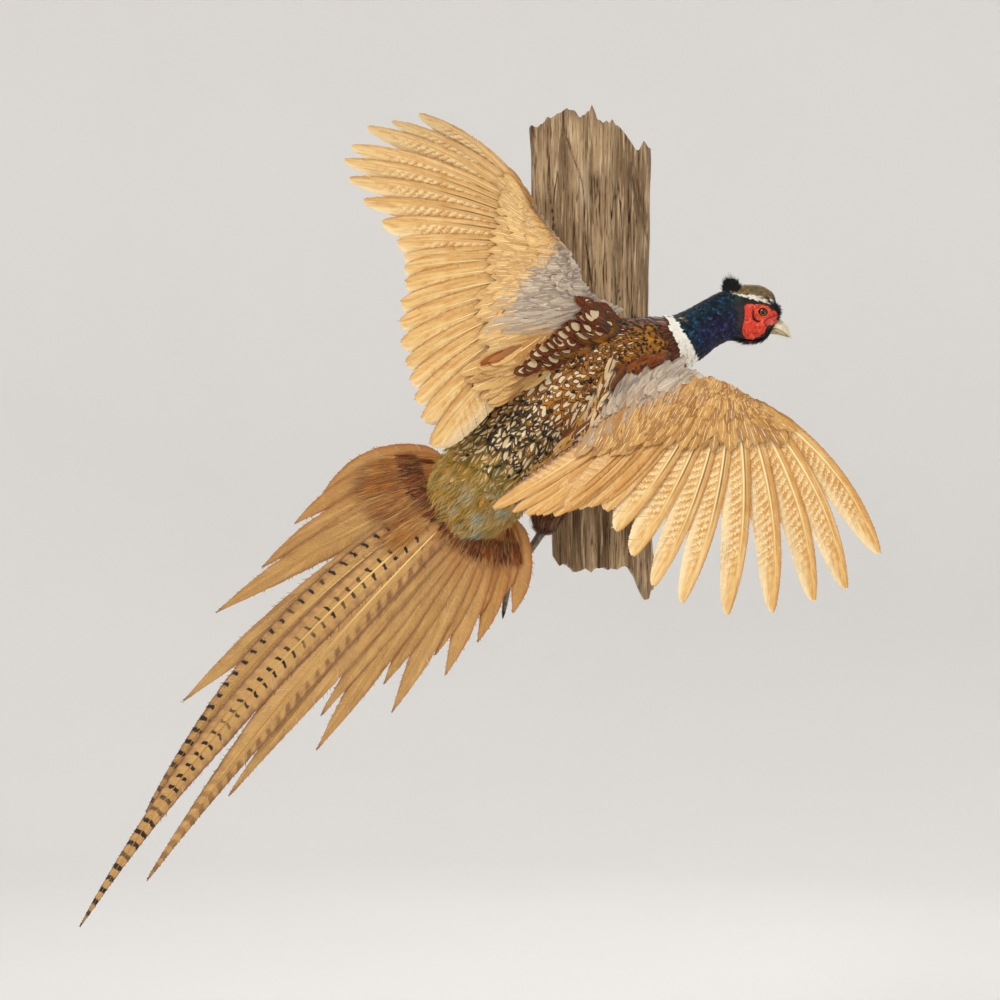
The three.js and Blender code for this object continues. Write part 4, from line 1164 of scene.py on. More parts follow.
def covert_rows(shape, rows, upper, seed, innermost=-0.3):
    """Lines for rows of coverts. A row gives where its roots and tips lie, as shares of the arm's chord plus
    metres past it, from which quill to which, how many feathers, and their half width."""
    random = np.random.default_rng(seed)
    lines, outs, widths, places, depths = [], [], [], [], []
    for start, end, root, tip, past, count, width in rows:
        place = np.linspace(start, max(end, innermost if tip > 0.5 else -0.3), count)
        place = place + random.uniform(-0.3, 0.3, count) * abs(end - start) / count
        chord = np.linalg.norm(along_wing(shape["trail"], place) - along_wing(shape["front"], place),
                               axis=-1)
        begin = chord * (root + random.uniform(-0.03, 0.03, count))
        finish = chord * (tip + random.uniform(-0.18, 0.10, count)) + past * random.uniform(0.3, 1.3, count)
        shares = np.linspace(0, 1, 7)
        distance = begin[:, None] + (finish - begin)[:, None] * shares
        drift = random.uniform(-0.12, 0.12, count)[:, None] * shares
        line, out = wing_surface(shape, place[:, None] + drift, distance, upper)
        lines.append(line)
        outs.append(out)
        widths.append(np.full(count, width) * random.uniform(0.9, 1.12, count))
        places.append(place)
        depths.append(np.full(count, tip))
    return (np.concatenate(lines), np.concatenate(outs), np.concatenate(widths),
            np.concatenate(places), np.concatenate(depths))


def flight_finish():
    vane = Finish("flight_feather_gold", Roughness=0.6, Sheen_Weight=0.15, Specular_IOR_Level=0.35)
    along, aside = vane.map("vane")
    edge, share, tone, quill = (vane.held(k) for k in ("edge", "share", "tone", "quill"))
    outer, marked, pale = vane.held("outer_hand"), vane.held("marked"), vane.held("pale")
    off_middle = abs(edge)
    inner_side = vane.ramp(edge, 0.02, -0.06)
    barbs = streaks_along_barbs(vane, along, aside)
    colour = vane.mix(outer, (224, 180, 112), vane.mix(pale, (208, 156, 82), (240, 204, 142)))
    soft = vane.noise(vane.pack(along * 0.25, aside), 30, 2)
    # On the right wing's secondaries a darker gold is laid over as painted shade, and their trailing vanes
    # pale less to cream.
    colour = vane.over(
        colour, (vane.ramp(soft, 0.42, 0.68) * 0.6, (238, 205, 145)),
        (vane.ramp(soft, 0.5, 0.3) * 0.7, (204, 146, 72)),
        (vane.held("deep_gold_and_shade") * 0.5, (200, 142, 66)))
    # The leading vane is the deeper gold, the trailing vane pales to cream at its edge.
    colour = vane.over(
        colour, (vane.ramp(edge, 0.15, 0.85) * (pale * -0.3 + 0.75), (194, 132, 58)),
        (vane.ramp(edge, 0.84, 1.0) * 0.7, (150, 96, 42)))
    paling = vane.held("deep_gold_and_shade") * -0.6 + 0.8
    colour = vane.mix(vane.ramp(edge, -0.4, -0.9) * paling, colour, (248, 228, 182))
    down_vane = vane.noise(vane.pack(along * 0.7, aside * 16,
                                     tone * 9), 2.4, 3, 0.6)
    colour = vane.over(
        colour, (vane.ramp(down_vane, 0.48, 0.3) * 0.45, (178, 122, 58)),
        (vane.ramp(down_vane, 0.5, 0.7) * 0.45, (248, 222, 168)))
    dark_side = vane.ramp(down_vane * 0.8 - edge, 1.0, 1.3) * vane.held("dark_edge")
    colour = vane.mix(dark_side, colour, (112, 52, 30))
    # Broken cream bars cross the trailing vane as far as its last third, edged by a darker gold.
    wavy = vane.noise(vane.pack(along, aside * 2.2), 26, 2.5, 0.6)
    phase = vane.calc("FRACT", (along + 0.12 * (wavy - 0.5)) / 0.074)
    bar = vane.band(phase, 0.5, 0.10, 0.12)
    broken = vane.ramp(vane.noise(vane.pack(along, aside * 2), 75, 2.5, 0.65), 0.40, 0.56)
    bar = bar * broken * (inner_side * marked)
    extent = vane.ramp(share, 0.86, 0.66) * vane.ramp(off_middle, 0.05, 0.16)
    bar = bar * extent
    dark = vane.band(phase, 0.86, 0.10, 0.16) * (inner_side * marked)
    dark = dark * extent * vane.ramp(off_middle, 0.8, 0.4)
    colour = vane.over(
        colour, (dark * 0.75, (190, 128, 56)),
        (bar, (252, 234, 190)))
    # Fine scalloped worm lines near the quill's covered part.
    scallop = vane.noise(vane.pack(along * 1.4, aside * 1.4), 85, 1.5, 0.5, 1.0)
    scallop = vane.band(scallop, 0.5, 0.015, 0.04) * vane.ramp(share, 0.85, 0.6)
    colour = vane.over(
        colour, (scallop * 0.4, (196, 142, 76)),
        (vane.ramp(barbs, 0.52, 0.8) * 0.55, (252, 226, 168)),
        (vane.ramp(barbs, 0.46, 0.2) * 0.45, (190, 134, 70)))
    # A painted shadow line beside the quill, on the wing's middle feathers.
    groove = vane.band(aside, 0.014, 0.004, 0.008) * vane.ramp(share, 0.75, 0.4)
    colour = vane.mix(groove * vane.held("shaft_shadow"), colour, (104, 78, 56))
    shaft = vane.mix(vane.ramp(share, 0.3, 0.9), (248, 228, 172), (236, 198, 126))
    shaft = vane.mix(pale * vane.ramp(marked, 0.5, 1.0), shaft, (214, 168, 104))
    colour = vane.mix(quill, colour, shaft)
    return vane.wear(colour, vane.ramp(barbs, -0.6, 1.5), barbs, 0.4, 0.0005)


def covert_finish():
    vane = Finish("wing_covert", Roughness=0.66, Sheen_Weight=0.2, Specular_IOR_Level=0.3)
    share, side = vane.map("vane")
    along, aside = vane.map("barb")
    tone, lilac, deep_gold_and_shade = vane.held("tone"), vane.held("lilac"), vane.held("deep_gold_and_shade")
    off_middle = abs(side)
    barbs = vane.noise(vane.pack(along, aside * 5.0), 2.6, 2.5, 0.6)
    fine = vane.noise(vane.pack(along * 0.5, aside * 6.0), 3.4, 2)
    gold = vane.mix(vane.ramp(tone, 0.1, 0.9), (222, 176, 110), (180, 128, 66))
    # A darker gold over some coverts: painted shade on the right wing, a random darker tone on the left's
    # innermost coverts.
    gold = vane.over(
        gold, (vane.ramp(share, 0.55, 0.95) * 0.35, (236, 200, 138)),
        (deep_gold_and_shade, vane.mix(vane.ramp(tone, 0.1, 0.9), (202, 152, 84), (156, 104, 48))))
    grey = vane.mix(vane.ramp(tone, 0.1, 0.9), (150, 132, 116), (200, 182, 160))
    grey = vane.mix(vane.ramp(share, 0.5, 0.1) * 0.5, grey, (160, 150, 140))
    colour = vane.mix(lilac, gold, grey)
    colour = vane.over(
        colour, (vane.ramp(barbs, 0.5, 0.75) * 0.45, vane.mix(lilac, (246, 218, 160), (222, 208, 190))),
        (vane.ramp(barbs, 0.47, 0.26) * 0.6, vane.mix(lilac, (150, 100, 48), (128, 112, 102))))
    shaft = vane.band(side, 0.0, 0.045, 0.05) * vane.ramp(share, 1.0, 0.9)
    colour = vane.mix(shaft * 0.8, colour, vane.mix(lilac, (250, 228, 172), (236, 224, 204)))
    rim = vane.ramp(off_middle, 0.86, 1.0) * 0.3
    colour = vane.mix(rim, colour, vane.mix(lilac, (180, 128, 68), (140, 128, 120)))
    height = fine * 0.7 + shaft
    return vane.wear(colour, vane.ramp(barbs, -0.6, 1.5), height, 0.35, 0.0005)


flight_gold = flight_finish()
covert_mix = covert_finish()
blunt = lambda share: np.sqrt(np.maximum(1 - share ** 7, 0))
tapered = lambda share: np.sqrt(np.maximum(1 - share ** 3.4, 0))

# Root, tip and reach past the flesh of each upper row, from which quill to which, how many and half width.
UPPER_ROWS = [
    (19.2, 9.5, 0.18, 1.0, 0.009, 22, 0.0052), (9.4, -0.3, 0.30, 1.0, 0.012, 28, 0.0074),
    (19.3, 9.5, 0.08, 0.92, 0.004, 24, 0.0046), (9.4, -0.3, 0.16, 0.94, 0.000, 34, 0.0056),
    (19.3, 9.5, 0.02, 0.76, 0.0, 26, 0.0042), (9.4, -0.3, 0.06, 0.82, 0.0, 38, 0.0048),
    (19.3, 9.5, -0.02, 0.56, 0.0, 28, 0.0038), (9.4, -0.3, 0.00, 0.70, 0.0, 40, 0.0044),
    (19.3, 9.5, -0.05, 0.38, 0.0, 30, 0.0035), (9.4, -0.3, -0.03, 0.56, 0.0, 42, 0.0040),
    (19.3, 9.5, -0.07, 0.20, 0.0, 32, 0.0032), (9.4, -0.3, -0.05, 0.42, 0.0, 44, 0.0038),
    (19.3, 9.5, -0.09, 0.08, 0.0, 34, 0.0030), (9.4, -0.3, -0.07, 0.28, 0.0, 44, 0.0036),
    (9.4, -0.3, -0.09, 0.12, 0.0, 44, 0.0034),
]
UNDER_ROWS = [
    (19.2, 9.5, 0.35, 1.0, 0.018, 20, 0.0066), (9.4, -0.3, 0.40, 1.0, 0.020, 22, 0.0092),
    (19.3, 9.5, 0.14, 0.80, 0.0, 22, 0.0060), (9.4, -0.3, 0.20, 0.80, 0.0, 22, 0.0084),
    (19.3, 9.5, 0.02, 0.48, 0.0, 24, 0.0052), (9.4, -0.3, 0.05, 0.52, 0.0, 26, 0.0070),
    (19.3, 9.5, -0.05, 0.24, 0.0, 28, 0.0042), (9.4, -0.3, -0.03, 0.28, 0.0, 32, 0.0056),
]
LILAC_REACH = {"left": ([0, 1.5, 3.5, 6, 8, 10, 12], [0.45, 0.6, 0.98, 0.82, 0.62, 0.36, 0.1]),
               "right": ([0, 2, 4, 6, 8, 9, 10.5], [0.95, 0.8, 0.66, 0.54, 0.40, 0.24, -0.3])}


def tuck_in(shape):
    """Moves the skin that stands ahead of the wing's front edge back behind it."""
    places = np.linspace(0, 19, 150)
    edge = along_wing(shape["front"], places)
    back = unit(along_wing(shape["trail"], places) - edge)
    at = points_of(skin)
    near = np.flatnonzero(((at > edge.min(0) - 0.03) & (at < edge.max(0) + 0.03)).all(1))
    for start in range(0, len(near), AT_ONCE):
        part = near[start:start + AT_ONCE]
        away = np.linalg.norm((at[part, None] - edge[None])[..., [0, 2]], axis=2)
        nearest = away.argmin(1)
        ahead = -((at[part] - edge[nearest]) * back[nearest]).sum(1)
        moving = (away.min(1) < 0.024) & (nearest > 25) & (nearest < 149)
        step = np.where(moving, np.maximum(ahead + 0.0035, 0), 0) * ramp(nearest, 25, 45)
        at[part] += back[nearest] * step[:, None]
    reshape(skin, at)


for wing_side, wing in WINGS.items():
    left = wing_side == "left"
    shape = wing_shape(wing)
    tuck_in(shape)
    made = {"primaries": [], "secondaries": []}
    for index in range(20):
        curve = shape["curves"][index]

        def toward(share, place=float(index)):
            return across_wing(shape, np.full(np.shape(share), place), share)

        hand = index > 9
        kind = "primary" if hand else "secondary"
        number = index - 9 if hand else 10 - index
        outermost = ramp(index, 13, 18)
        vanes = (0.0066, 0.0215) if hand else (0.0105, 0.0255 if left else 0.0215)
        if not left and index < 5:
            vanes = (0.0095, 0.0130 + 0.0016 * max(index - 1, 0))
        piece = quilled(
            f"wing_{wing_side}_{kind}_{number}", curve, toward, vanes,
            tapered if index > 12 or (not left and index < 8) else blunt, flight_gold,
            300 + index + 50 * left, begin=max(shape["covered"][index] - 0.030, 0.006), tilt=0.10,
            slope=0.75 if hand else 0.7, pitch=0.0026, ragged=0.03, splits=4 if left else 6, gap=0.0003,
            rachis=0.00115 if hand else 0.00095, downy=1.0, hairs=0.0026, hair_reach=0.08,
            numbers={"outer_hand": outermost, "marked": 1.0 if hand else 0.45, "pale": left,
                     # the right wing's secondaries are painted a darker gold as shade
                     "deep_gold_and_shade": 0.0 if left or hand else 1.1 if index < 7 else 0.8,
                     # painted shadow beside the quill on the inner primaries and outer secondaries
                     "shaft_shadow": ramp(index, 7, 10) * ramp(index, 17.5, 14) * 0.85,
                     "dark_edge": 0.0 if index > 1 else 0.3 if left else 0.9})
        rest(piece, "wing_feathers")
        made["primaries" if hand else "secondaries"].append(piece)
    for group, pieces in made.items():
        for piece in pieces:
            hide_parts(f"wing_{wing_side}_{group}")
    for upper, rows in ((True, UPPER_ROWS), (False, UNDER_ROWS)):
        lines, outs, widths, places, depths = covert_rows(shape, rows, upper, 40 + upper,
                                                          1.2 if left and upper else -0.3)
        reach = np.interp(places, *LILAC_REACH[wing_side])
        lilac = ramp(depths - reach, 0.10, -0.06) if upper else ramp(depths, 0.9, 0.3) * 0.6
        numbers = {"lilac": np.clip(lilac + np.random.default_rng(5).normal(0, 0.08, len(lilac)), 0, 1),
                   # the right wing's coverts are painted a darker gold as shade
                   "deep_gold_and_shade": 0.0 if left else 1.0}
        bake_at = np.stack([places / 19.0, depths * 0.9], 1)
        coverts = lay_feathers(
            f"wing_{wing_side}_{'upper' if upper else 'under'}_coverts", lines, outs, widths,
            0.0022, covert_mix, bake_at, 60 + upper, rows=8, columns=5, camber=0.10, ragged=0.02,
            numbers=numbers, shoulder=0.62)
        rest(coverts, "wing_feathers", f"wing_{wing_side}_arm")

# ---- body coat -------------------------------------------------------------------------------------------
# Small feathers in staggered rows, each lying over the roots of the next ones towards the tail. The mantle
# is chestnut and gold with black ticks, the scapulars cream with maroon borders, the middle of the back dark
# with cream chevrons, and the rump hair-like, olive gold to silver green.

SHADES = {
    "black": (24, 16, 11), "soot": (46, 36, 27), "gold": (196, 136, 44), "amber": (172, 108, 36),
    "chestnut": (128, 62, 26), "rust": (150, 80, 26), "maroon": (100, 46, 18),
    "cream": (236, 216, 180), "buff": (212, 184, 134), "dark": (66, 54, 44),
    "olive": (176, 142, 50), "moss": (128, 112, 48), "silver": (178, 184, 160),
    "slate": (108, 114, 104), "copper": (150, 76, 34), "flank": (206, 150, 74),
    "belly": (58, 42, 32), "vent": (120, 62, 34), "thigh": (62, 34, 24), "white": (250, 247, 236),
    "tan": (206, 164, 108), "lilac": (176, 160, 146), "blue": (16, 40, 88), "teal": (12, 74, 82),
    "violet": (46, 32, 92), "green": (20, 66, 44), "crown": (116, 104, 66), "brow": (226, 220, 204),
    "ink": (12, 11, 14),
}
SHADES = {name: np.array(tint(*values)[:3]) for name, values in SHADES.items()}


def layered(count, *layers):
    """Colours laid over one another: each layer is a shade and how much of it each root has."""
    colour = np.zeros((count, 3))
    for shade, share in layers:
        share = np.clip(np.broadcast_to(np.asarray(share, float), count), 0, 1)[:, None]
        if isinstance(shade, str):
            shade = SHADES[shade]
        elif isinstance(shade, tuple):
            shade = np.array(tint(*shade)[:3])
        colour = colour * (1 - share) + shade * share
    return colour


def body_place(points):
    """Where points lie along and round the middle line."""
    index = line_index(points)
    offset = points - LINE_CENTRES[index]
    sideways = (offset * LINE_ACROSS[index]).sum(1)
    outward = (offset * LINE_BACK[index]).sum(1)
    place = LINE_PLACES[index]
    wide, over, under = (spline(BODY_LINE[:, column], place) for column in (3, 4, 5))
    return place, np.degrees(np.arctan2(outward / np.where(outward > 0, over, under),
                                        sideways / wide)) % 360


def within(value, start, end, soft):
    """1 between start and end, fading over soft."""
    return ramp(value, start - soft, start + soft) * ramp(value, end + soft, end - soft)


def on_back(angle):
    return ramp(np.sin(np.radians(angle)), -0.35, 0.05)


def past_ring(points):
    """How far points lie ahead of the middle of the white ring."""
    return points[:, 0] + 0.47 * points[:, 2] - 0.0844


def ring_width(points):
    return np.interp(points[:, 2], [-0.03, -0.01, 0.03, 0.05], [0.0064, 0.0070, 0.0022, 0.0014])


def ring_half(points):
    """How far inside the white neck ring points lie: above 0 is inside."""
    return ring_width(points) + lumps(points, 0.0035, 21) * 0.0007 - np.abs(past_ring(points))


def skin_colours(points):
    """The coat's own colours as they lie over the skin."""
    place, angle = body_place(points)
    count = len(points)
    back = on_back(angle)
    sides = ramp(np.abs(angle - 270), 45, 62) * (1 - back)
    noise = lumps(points, 0.012, 31)
    ring = ramp(ring_half(points), -0.0006, 0.0002)
    glossy = ramp(past_ring(points), -0.0014, 0.0016)
    from_line = points - LINE_CENTRES[line_index(points)]
    arm = ramp(np.linalg.norm(from_line, axis=1), 0.058, 0.070) * (from_line @ ROOMWARD > -0.02)
    arm = np.maximum(arm, ramp(points[:, 2], 0.041, 0.045) * ramp(points[:, 0], 0.030, 0.020))
    return layered(
        count, ("belly", 1), ("flank", sides * within(place, 2.2, 5.8, 0.4)),
        ("copper", (1 - back) * ramp(place, 5.2, 6.2)),
        ("dark", back), ("soot", back * within(place, 2.2, 4.6, 0.3)),
        ("chestnut", back * ramp(place, 5.6, 6.6)), ("amber", back * within(place, 4.8, 6.4, 0.4) * 0.6),
        ("moss", back * ramp(place, 2.9, 2.2)), ("olive", back * ramp(place, 2.0, 1.2) * 0.7),
        ("vent", (1 - back) * ramp(place, 2.2, 1.4)), ("lilac", arm),
        ("ink", glossy), ("blue", glossy * ramp(noise, -0.4, 0.8) * 0.5),
        ("crown", glossy * ramp(points[:, 2], 0.044, 0.050) * ramp(points[:, 0], 0.128, 0.136) * 0.7),
        ("white", ring))


def roots_over(start, end, spacing, keep, seed, ratio=0.72, jitter=0.22, reach=0.0065):
    """Roots in staggered rows round the body, spacing apart, where keep(place, angle) is above a half."""
    random = np.random.default_rng(seed)
    rings, ring_places, station, row = [], [], start, 0
    while station < end:
        wide, over, under = (float(spline(BODY_LINE[:, column], station)) for column in (3, 4, 5))
        girth = 2 * math.pi * math.sqrt((wide ** 2 + ((over + under) / 2) ** 2) / 2)
        count = max(int(girth / spacing), 6)
        turns = ((np.arange(count) + 0.5 * (row % 2) + random.uniform(-jitter, jitter, count)) / count * 2
                 * math.pi)
        rings.append(turns)
        ring_places.append(np.full(count, station))
        centre = spline(BODY_LINE[:, :3], np.array([station, station + 0.02]))
        speed = np.linalg.norm(centre[1] - centre[0]) / 0.02
        station += spacing * ratio / speed
        row += 1
    places, turns = np.concatenate(ring_places), np.concatenate(rings)
    share = keep(places, np.degrees(turns) % 360)
    chosen = share > 0.5
    places, turns = places[chosen], turns[chosen]
    aimed = body_point(places, turns, 0.003)
    roots, _ = on_skin(aimed)
    near = np.linalg.norm(roots - aimed, axis=1) < reach
    roots = roots[near]
    return roots, places[near], np.degrees(turns[near]) % 360


def to_tail(points):
    return -LINE_AHEAD[line_index(points)]


def bake_place(places, angles):
    """The root's place on an unwrap of the body, opened along the belly."""
    return np.stack([places / 17.0, ((angles + 90) % 360) / 360], 1)


def contour_finish():
    vane = Finish("contour_feather", Roughness=0.68, Sheen_Weight=0.04, Specular_IOR_Level=0.16)
    share, side = vane.map("vane")
    along, aside = vane.map("barb")
    ground, line, core, rim = (vane.painted(k) for k in ("ground", "line", "core", "rim"))
    core_size, line_width, rim_width, tick, slender, core_from = (
        vane.held(k) for k in ("core_size", "line_width", "rim_width", "tick", "slender", "core_from"))
    off_middle = abs(side)
    barb = along - abs(aside) * 0.9
    barbs = vane.noise(vane.pack(barb, aside * 0.35), 26, 2, 0.6)
    cloudy = vane.noise(vane.pack(along, aside), 7, 2.5, 0.6)
    beyond = vane.calc("MAXIMUM", share - 0.6, 0.0) / 0.4
    depth = vane.calc("SQRT", beyond ** 2.0 + side ** 2.0)
    depth = depth + 0.22 * (cloudy - 0.5)
    colour = vane.mix(vane.ramp(cloudy, 0.42, 0.7) * 0.35, ground, line)
    colour = vane.over(
        colour, (vane.ramp(share, 0.30, 0.08), (70, 58, 46)),
        (vane.ramp(depth, 1.04 - rim_width, 1.10 - rim_width), rim))
    before = vane.calc("MAXIMUM", core_from - share, 0.0) / 0.2
    narrowed = vane.calc("SQRT", beyond ** 2.0 + before ** 2.0 + (side * slender) ** 2.0)
    narrowed = narrowed + 0.22 * (cloudy - 0.5)
    ring = vane.band(narrowed, core_size + line_width, line_width, 0.05)
    has_core = vane.ramp(core_size, 0.04, 0.12)
    colour = vane.mix(ring * has_core, colour, line)
    within_core = vane.ramp(narrowed - core_size, 0.03, -0.03) * has_core
    specks = vane.ramp(vane.noise(vane.pack(along, aside), 16, 1.5, 0.5), 0.6, 0.68)
    core_colour = vane.mix(specks * 0.55, core, line)
    colour = vane.mix(within_core, colour, core_colour)
    notch = share - off_middle * 0.22
    notch = notch + 0.12 * (cloudy - 0.5)
    colour = vane.mix(vane.ramp(notch, 0.72, 0.77) * tick, colour, (20, 15, 13))
    colour = vane.mix(vane.ramp(barbs, 0.52, 0.8) * 0.30, colour, vane.mix(0.55, colour, (255, 236, 200)))
    colour = vane.mix(vane.ramp(barbs, 0.48, 0.2) * 0.5, colour, vane.mix(0.6, colour, (24, 16, 12)))
    quill = vane.band(side, 0, 0.03, 0.05) * 0.25
    colour = vane.mix(quill, colour, vane.mix(0.5, colour, (250, 230, 190)))
    return vane.wear(colour, vane.ramp(barbs, -0.4, 1.6), barbs, 0.45, 0.0005)


def strand_finish(name, light):
    """The finish of hair-like feathers, some of them paler towards this light colour; on the black bristles
    that paler colour is a painted bluish sheen.
    """
    strand = Finish(name, Roughness=0.6, Sheen_Weight=0.2, Specular_IOR_Level=0.2)
    share, _ = strand.map("vane")
    tone = strand.held("tone")
    ground, tip = strand.painted("ground"), strand.painted("tip")
    colour = strand.mix(strand.ramp(share, 0.25, 0.85), ground, tip)
    colour = strand.mix(strand.ramp(tone, 0.6, 1.1) * 0.5, colour, strand.mix(0.5, colour, light))
    colour = strand.mix(strand.ramp(tone, 0.45, -0.1) * 0.55, colour,
                        strand.mix(0.65, colour, (20, 16, 14)))
    return strand.wear(colour)


contour = contour_finish()
hair_like = strand_finish("hair_like_feather", (250, 214, 140))


def patch(name, start, end, spacing, keep, length, width, lift, look, seed, lie=to_tail, rows=7, columns=5,
          slot="body_feathers", finish=None, ratio=0.72, reach=0.0065, **shape):
    """One tract of the coat as one piece. look(places, angles, points) gives its colours and numbers."""
    roots, places, angles = roots_over(start, end, spacing, keep, seed, ratio, reach=reach)
    random = np.random.default_rng(seed + 500)
    lines, outs = walk(roots, length * random.uniform(0.82, 1.15, len(roots)), lie)
    sizes = width * random.uniform(0.85, 1.15, len(roots))
    piece = lay_feathers(name, lines, outs, sizes, lift * random.uniform(0.78, 1.22, len(roots)),
                         finish or contour, bake_place(places, angles), seed + 900, rows=rows,
                         columns=columns, numbers=look(places, angles, roots), **shape)
    rest(piece, slot)
    return piece


def plain_look(count, ground, line, core="cream", rim="black", core_size=0.0, line_width=0.03,
               rim_width=0.0, tick=0.0, slender=1.0, core_from=0.0):
    """Numbers for contour feathers; each may be one value or one for each root."""
    shade = lambda value: np.tile(SHADES[value], (count, 1)) if isinstance(value, str) else value
    return {"ground": shade(ground), "line": shade(line), "core": shade(core), "rim": shade(rim),
            "core_size": core_size, "line_width": line_width, "rim_width": rim_width, "tick": tick,
            "slender": slender, "core_from": core_from}


def draws(seed, count):
    """Two ways to draw a number for each feather: evenly between two limits, or about nought."""
    random = np.random.default_rng(seed)

    def some(low, high):
        return random.uniform(low, high, count)

    def about(spread):
        return random.normal(0, spread, count)
    return some, about


def mantle_look(places, angles, points):
    count = len(places)
    some, about = draws(3, count)
    patchy = lumps(points, 0.011, 43)
    golden = within(angles, 58, 135, 20) * ramp(places, 8.5, 7.5) * ramp(patchy, -0.9, 0.2)
    golden = np.clip(golden + about(0.22) * (places < 8.1), 0, 1)
    ground = layered(count, ("chestnut", 1), ("maroon", some(0.0, 1.0)),
                     ("amber", golden), ("gold", golden * some(0.0, 1.0)),
                     ("black", some(-0.7, 0.9) * (1 - 0.6 * golden)))
    cored = ramp(places, 7.7, 6.4) * (some(0, 1) < 0.75) * ramp(angles, 44, 66)
    core = layered(count, ("cream", 1), ("buff", some(0, 0.5)))
    rim = layered(count, ("chestnut", 1), ("black", some(-0.5, 1.1)))
    return plain_look(count, ground, "black", core, rim, cored * some(0.24, 0.46), 0.08,
                      0.12, tick=np.clip((1 - cored * 0.4) * (some(0, 1) < 0.9)
                                         - (angles < 44) * (places < 7.4) * 0.4, 0, 1),
                      slender=some(1.0, 1.8))


def upper_back_look(places, angles, points):
    count = len(places)
    some, about = draws(4, count)
    golden = np.clip(ramp(places, 4.3, 5.2) + about(0.22), 0, 1)
    ground = layered(count, ("dark", 1), ("amber", golden), ("gold", golden * some(-0.1, 0.9)),
                     ("chestnut", some(-0.8, 0.7)), ("soot", some(-1.4, 0.4)))
    core = layered(count, ("cream", 1), ("buff", some(0, 0.5)))
    return plain_look(count, ground, "black", core, "maroon", some(0.42, 0.78), 0.055, 0.08,
                      tick=some(0, 1) > 0.85, slender=some(1.05, 1.9),
                      core_from=some(0.45, 0.62))


def scapular_look(places, angles, points):
    count = len(places)
    some, _ = draws(5, count)
    core = layered(count, ("buff", 1), ("cream", some(0.1, 0.8)))
    ground = layered(count, ("maroon", 1), ("chestnut", some(0, 0.8)))
    inner = places > 1.5
    ground = layered(count, (ground, 1), ("amber", inner * 0.9), ("soot", inner * some(0, 0.7)))
    rim = layered(count, ("maroon", 1), ("black", inner * some(0.3, 1)))
    return plain_look(count, ground, "black", core, rim, some(0.52, 0.64), 0.05,
                      np.where(inner, 0.08, 0.15), slender=some(0.95, 1.25), core_from=some(0.50, 0.60))


def middle_back_look(places, angles, points):
    count = len(places)
    some, about = draws(6, count)
    mossy = np.clip(ramp(places, 3.7, 2.7) + about(0.15), 0, 1)
    ground = layered(count, ("dark", 1), ("soot", some(-0.8, 0.7)), ("moss", mossy * 0.7),
                     ("olive", mossy * some(0, 1)),
                     ("gold", some(-1.6, 0.9)))
    core = layered(count, ("buff", 1), ("cream", some(0.0, 1.2)),
                   ("gold", mossy * some(0, 0.9)),
                   ("silver", mossy * (angles < 92) * some(0, 0.9)))
    return plain_look(count, ground, "black", core, ground, some(0.48, 0.92), 0.035, 0.0,
                      tick=(some(0, 1) > 0.88) * (places > 3.0),
                      slender=some(1.2, 2.9))


def breast_look(places, angles, points):
    count = len(places)
    some, _ = draws(7, count)
    front = ramp(places, 4.8, 5.6)
    middle_line = within(angles, 240, 300, 16)
    ground = layered(count, ("flank", 1), ("copper", front), ("belly", middle_line * (1 - front)),
                     ("rust", front * some(0, 0.5)))
    return plain_look(count, ground, "amber", "buff", "black", 0.0, 0.04, 0.10,
                      tick=1 - middle_line * (1 - front))


def scruffy(seed, amount):
    """Towards the tail, each feather a little askew."""
    random = np.random.default_rng(seed)
    held = {}

    def lie(points):
        index = line_index(points)
        if len(points) not in held:
            held[len(points)] = random.normal(0, amount, (len(points), 1))
        return -LINE_AHEAD[index] + LINE_ACROSS[index] * held[len(points)]
    return lie


patch("coat_mantle", 5.7, 9.3, 0.0047,
      lambda p, a: on_back(a) * (past_ring(body_point(p, np.radians(a)))
                                 < 0.0008 - ring_width(body_point(p, np.radians(a)))),
      0.0150, 0.0037, 0.0030, mantle_look, 71, rows=7, ratio=0.8, lie=scruffy(1, 0.16), camber=0.2)
patch("coat_upper_back", 4.35, 6.3, 0.0070, lambda p, a: within(a, 8, 178, 1), 0.022, 0.0052, 0.0030,
      upper_back_look, 72, lie=scruffy(2, 0.2), camber=0.2)
patch("coat_middle_back", 2.3, 4.6, 0.0060,
      lambda p, a: on_back(a) * (p > 2.3 + 0.6 * np.sin(a * 0.9 + p * 9) ** 2), 0.018, 0.0036, 0.0036,
      middle_back_look, 75, ratio=0.74, lie=scruffy(3, 0.35), camber=0.25, tip_up=0.4)
patch("coat_breast", 2.0, 8.86, 0.0100, lambda p, a: 1 - on_back(a), 0.027, 0.0078, 0.0028, breast_look, 76)


def hair_patch(name, start, end, spacing, keep, length, spread, lift, look, seed, lie=to_tail, strands=7,
               thick=0.00035, curl=0.3):
    """One tract of hair-like feathers as one piece."""
    roots, places, angles = roots_over(start, end, spacing, keep, seed)
    random = np.random.default_rng(seed + 500)
    lines, outs = walk(roots, length * random.uniform(0.75, 1.2, len(roots)), lie)
    piece = lay_strands(name, lines, outs, spread, lift * random.uniform(0.6, 1.3, len(roots)), hair_like,
                        bake_place(places, angles), seed + 900, strands=strands, rows=4, thick=thick,
                        curl=curl, numbers=look(places, angles, roots))
    rest(piece, "body_feathers")
    return piece


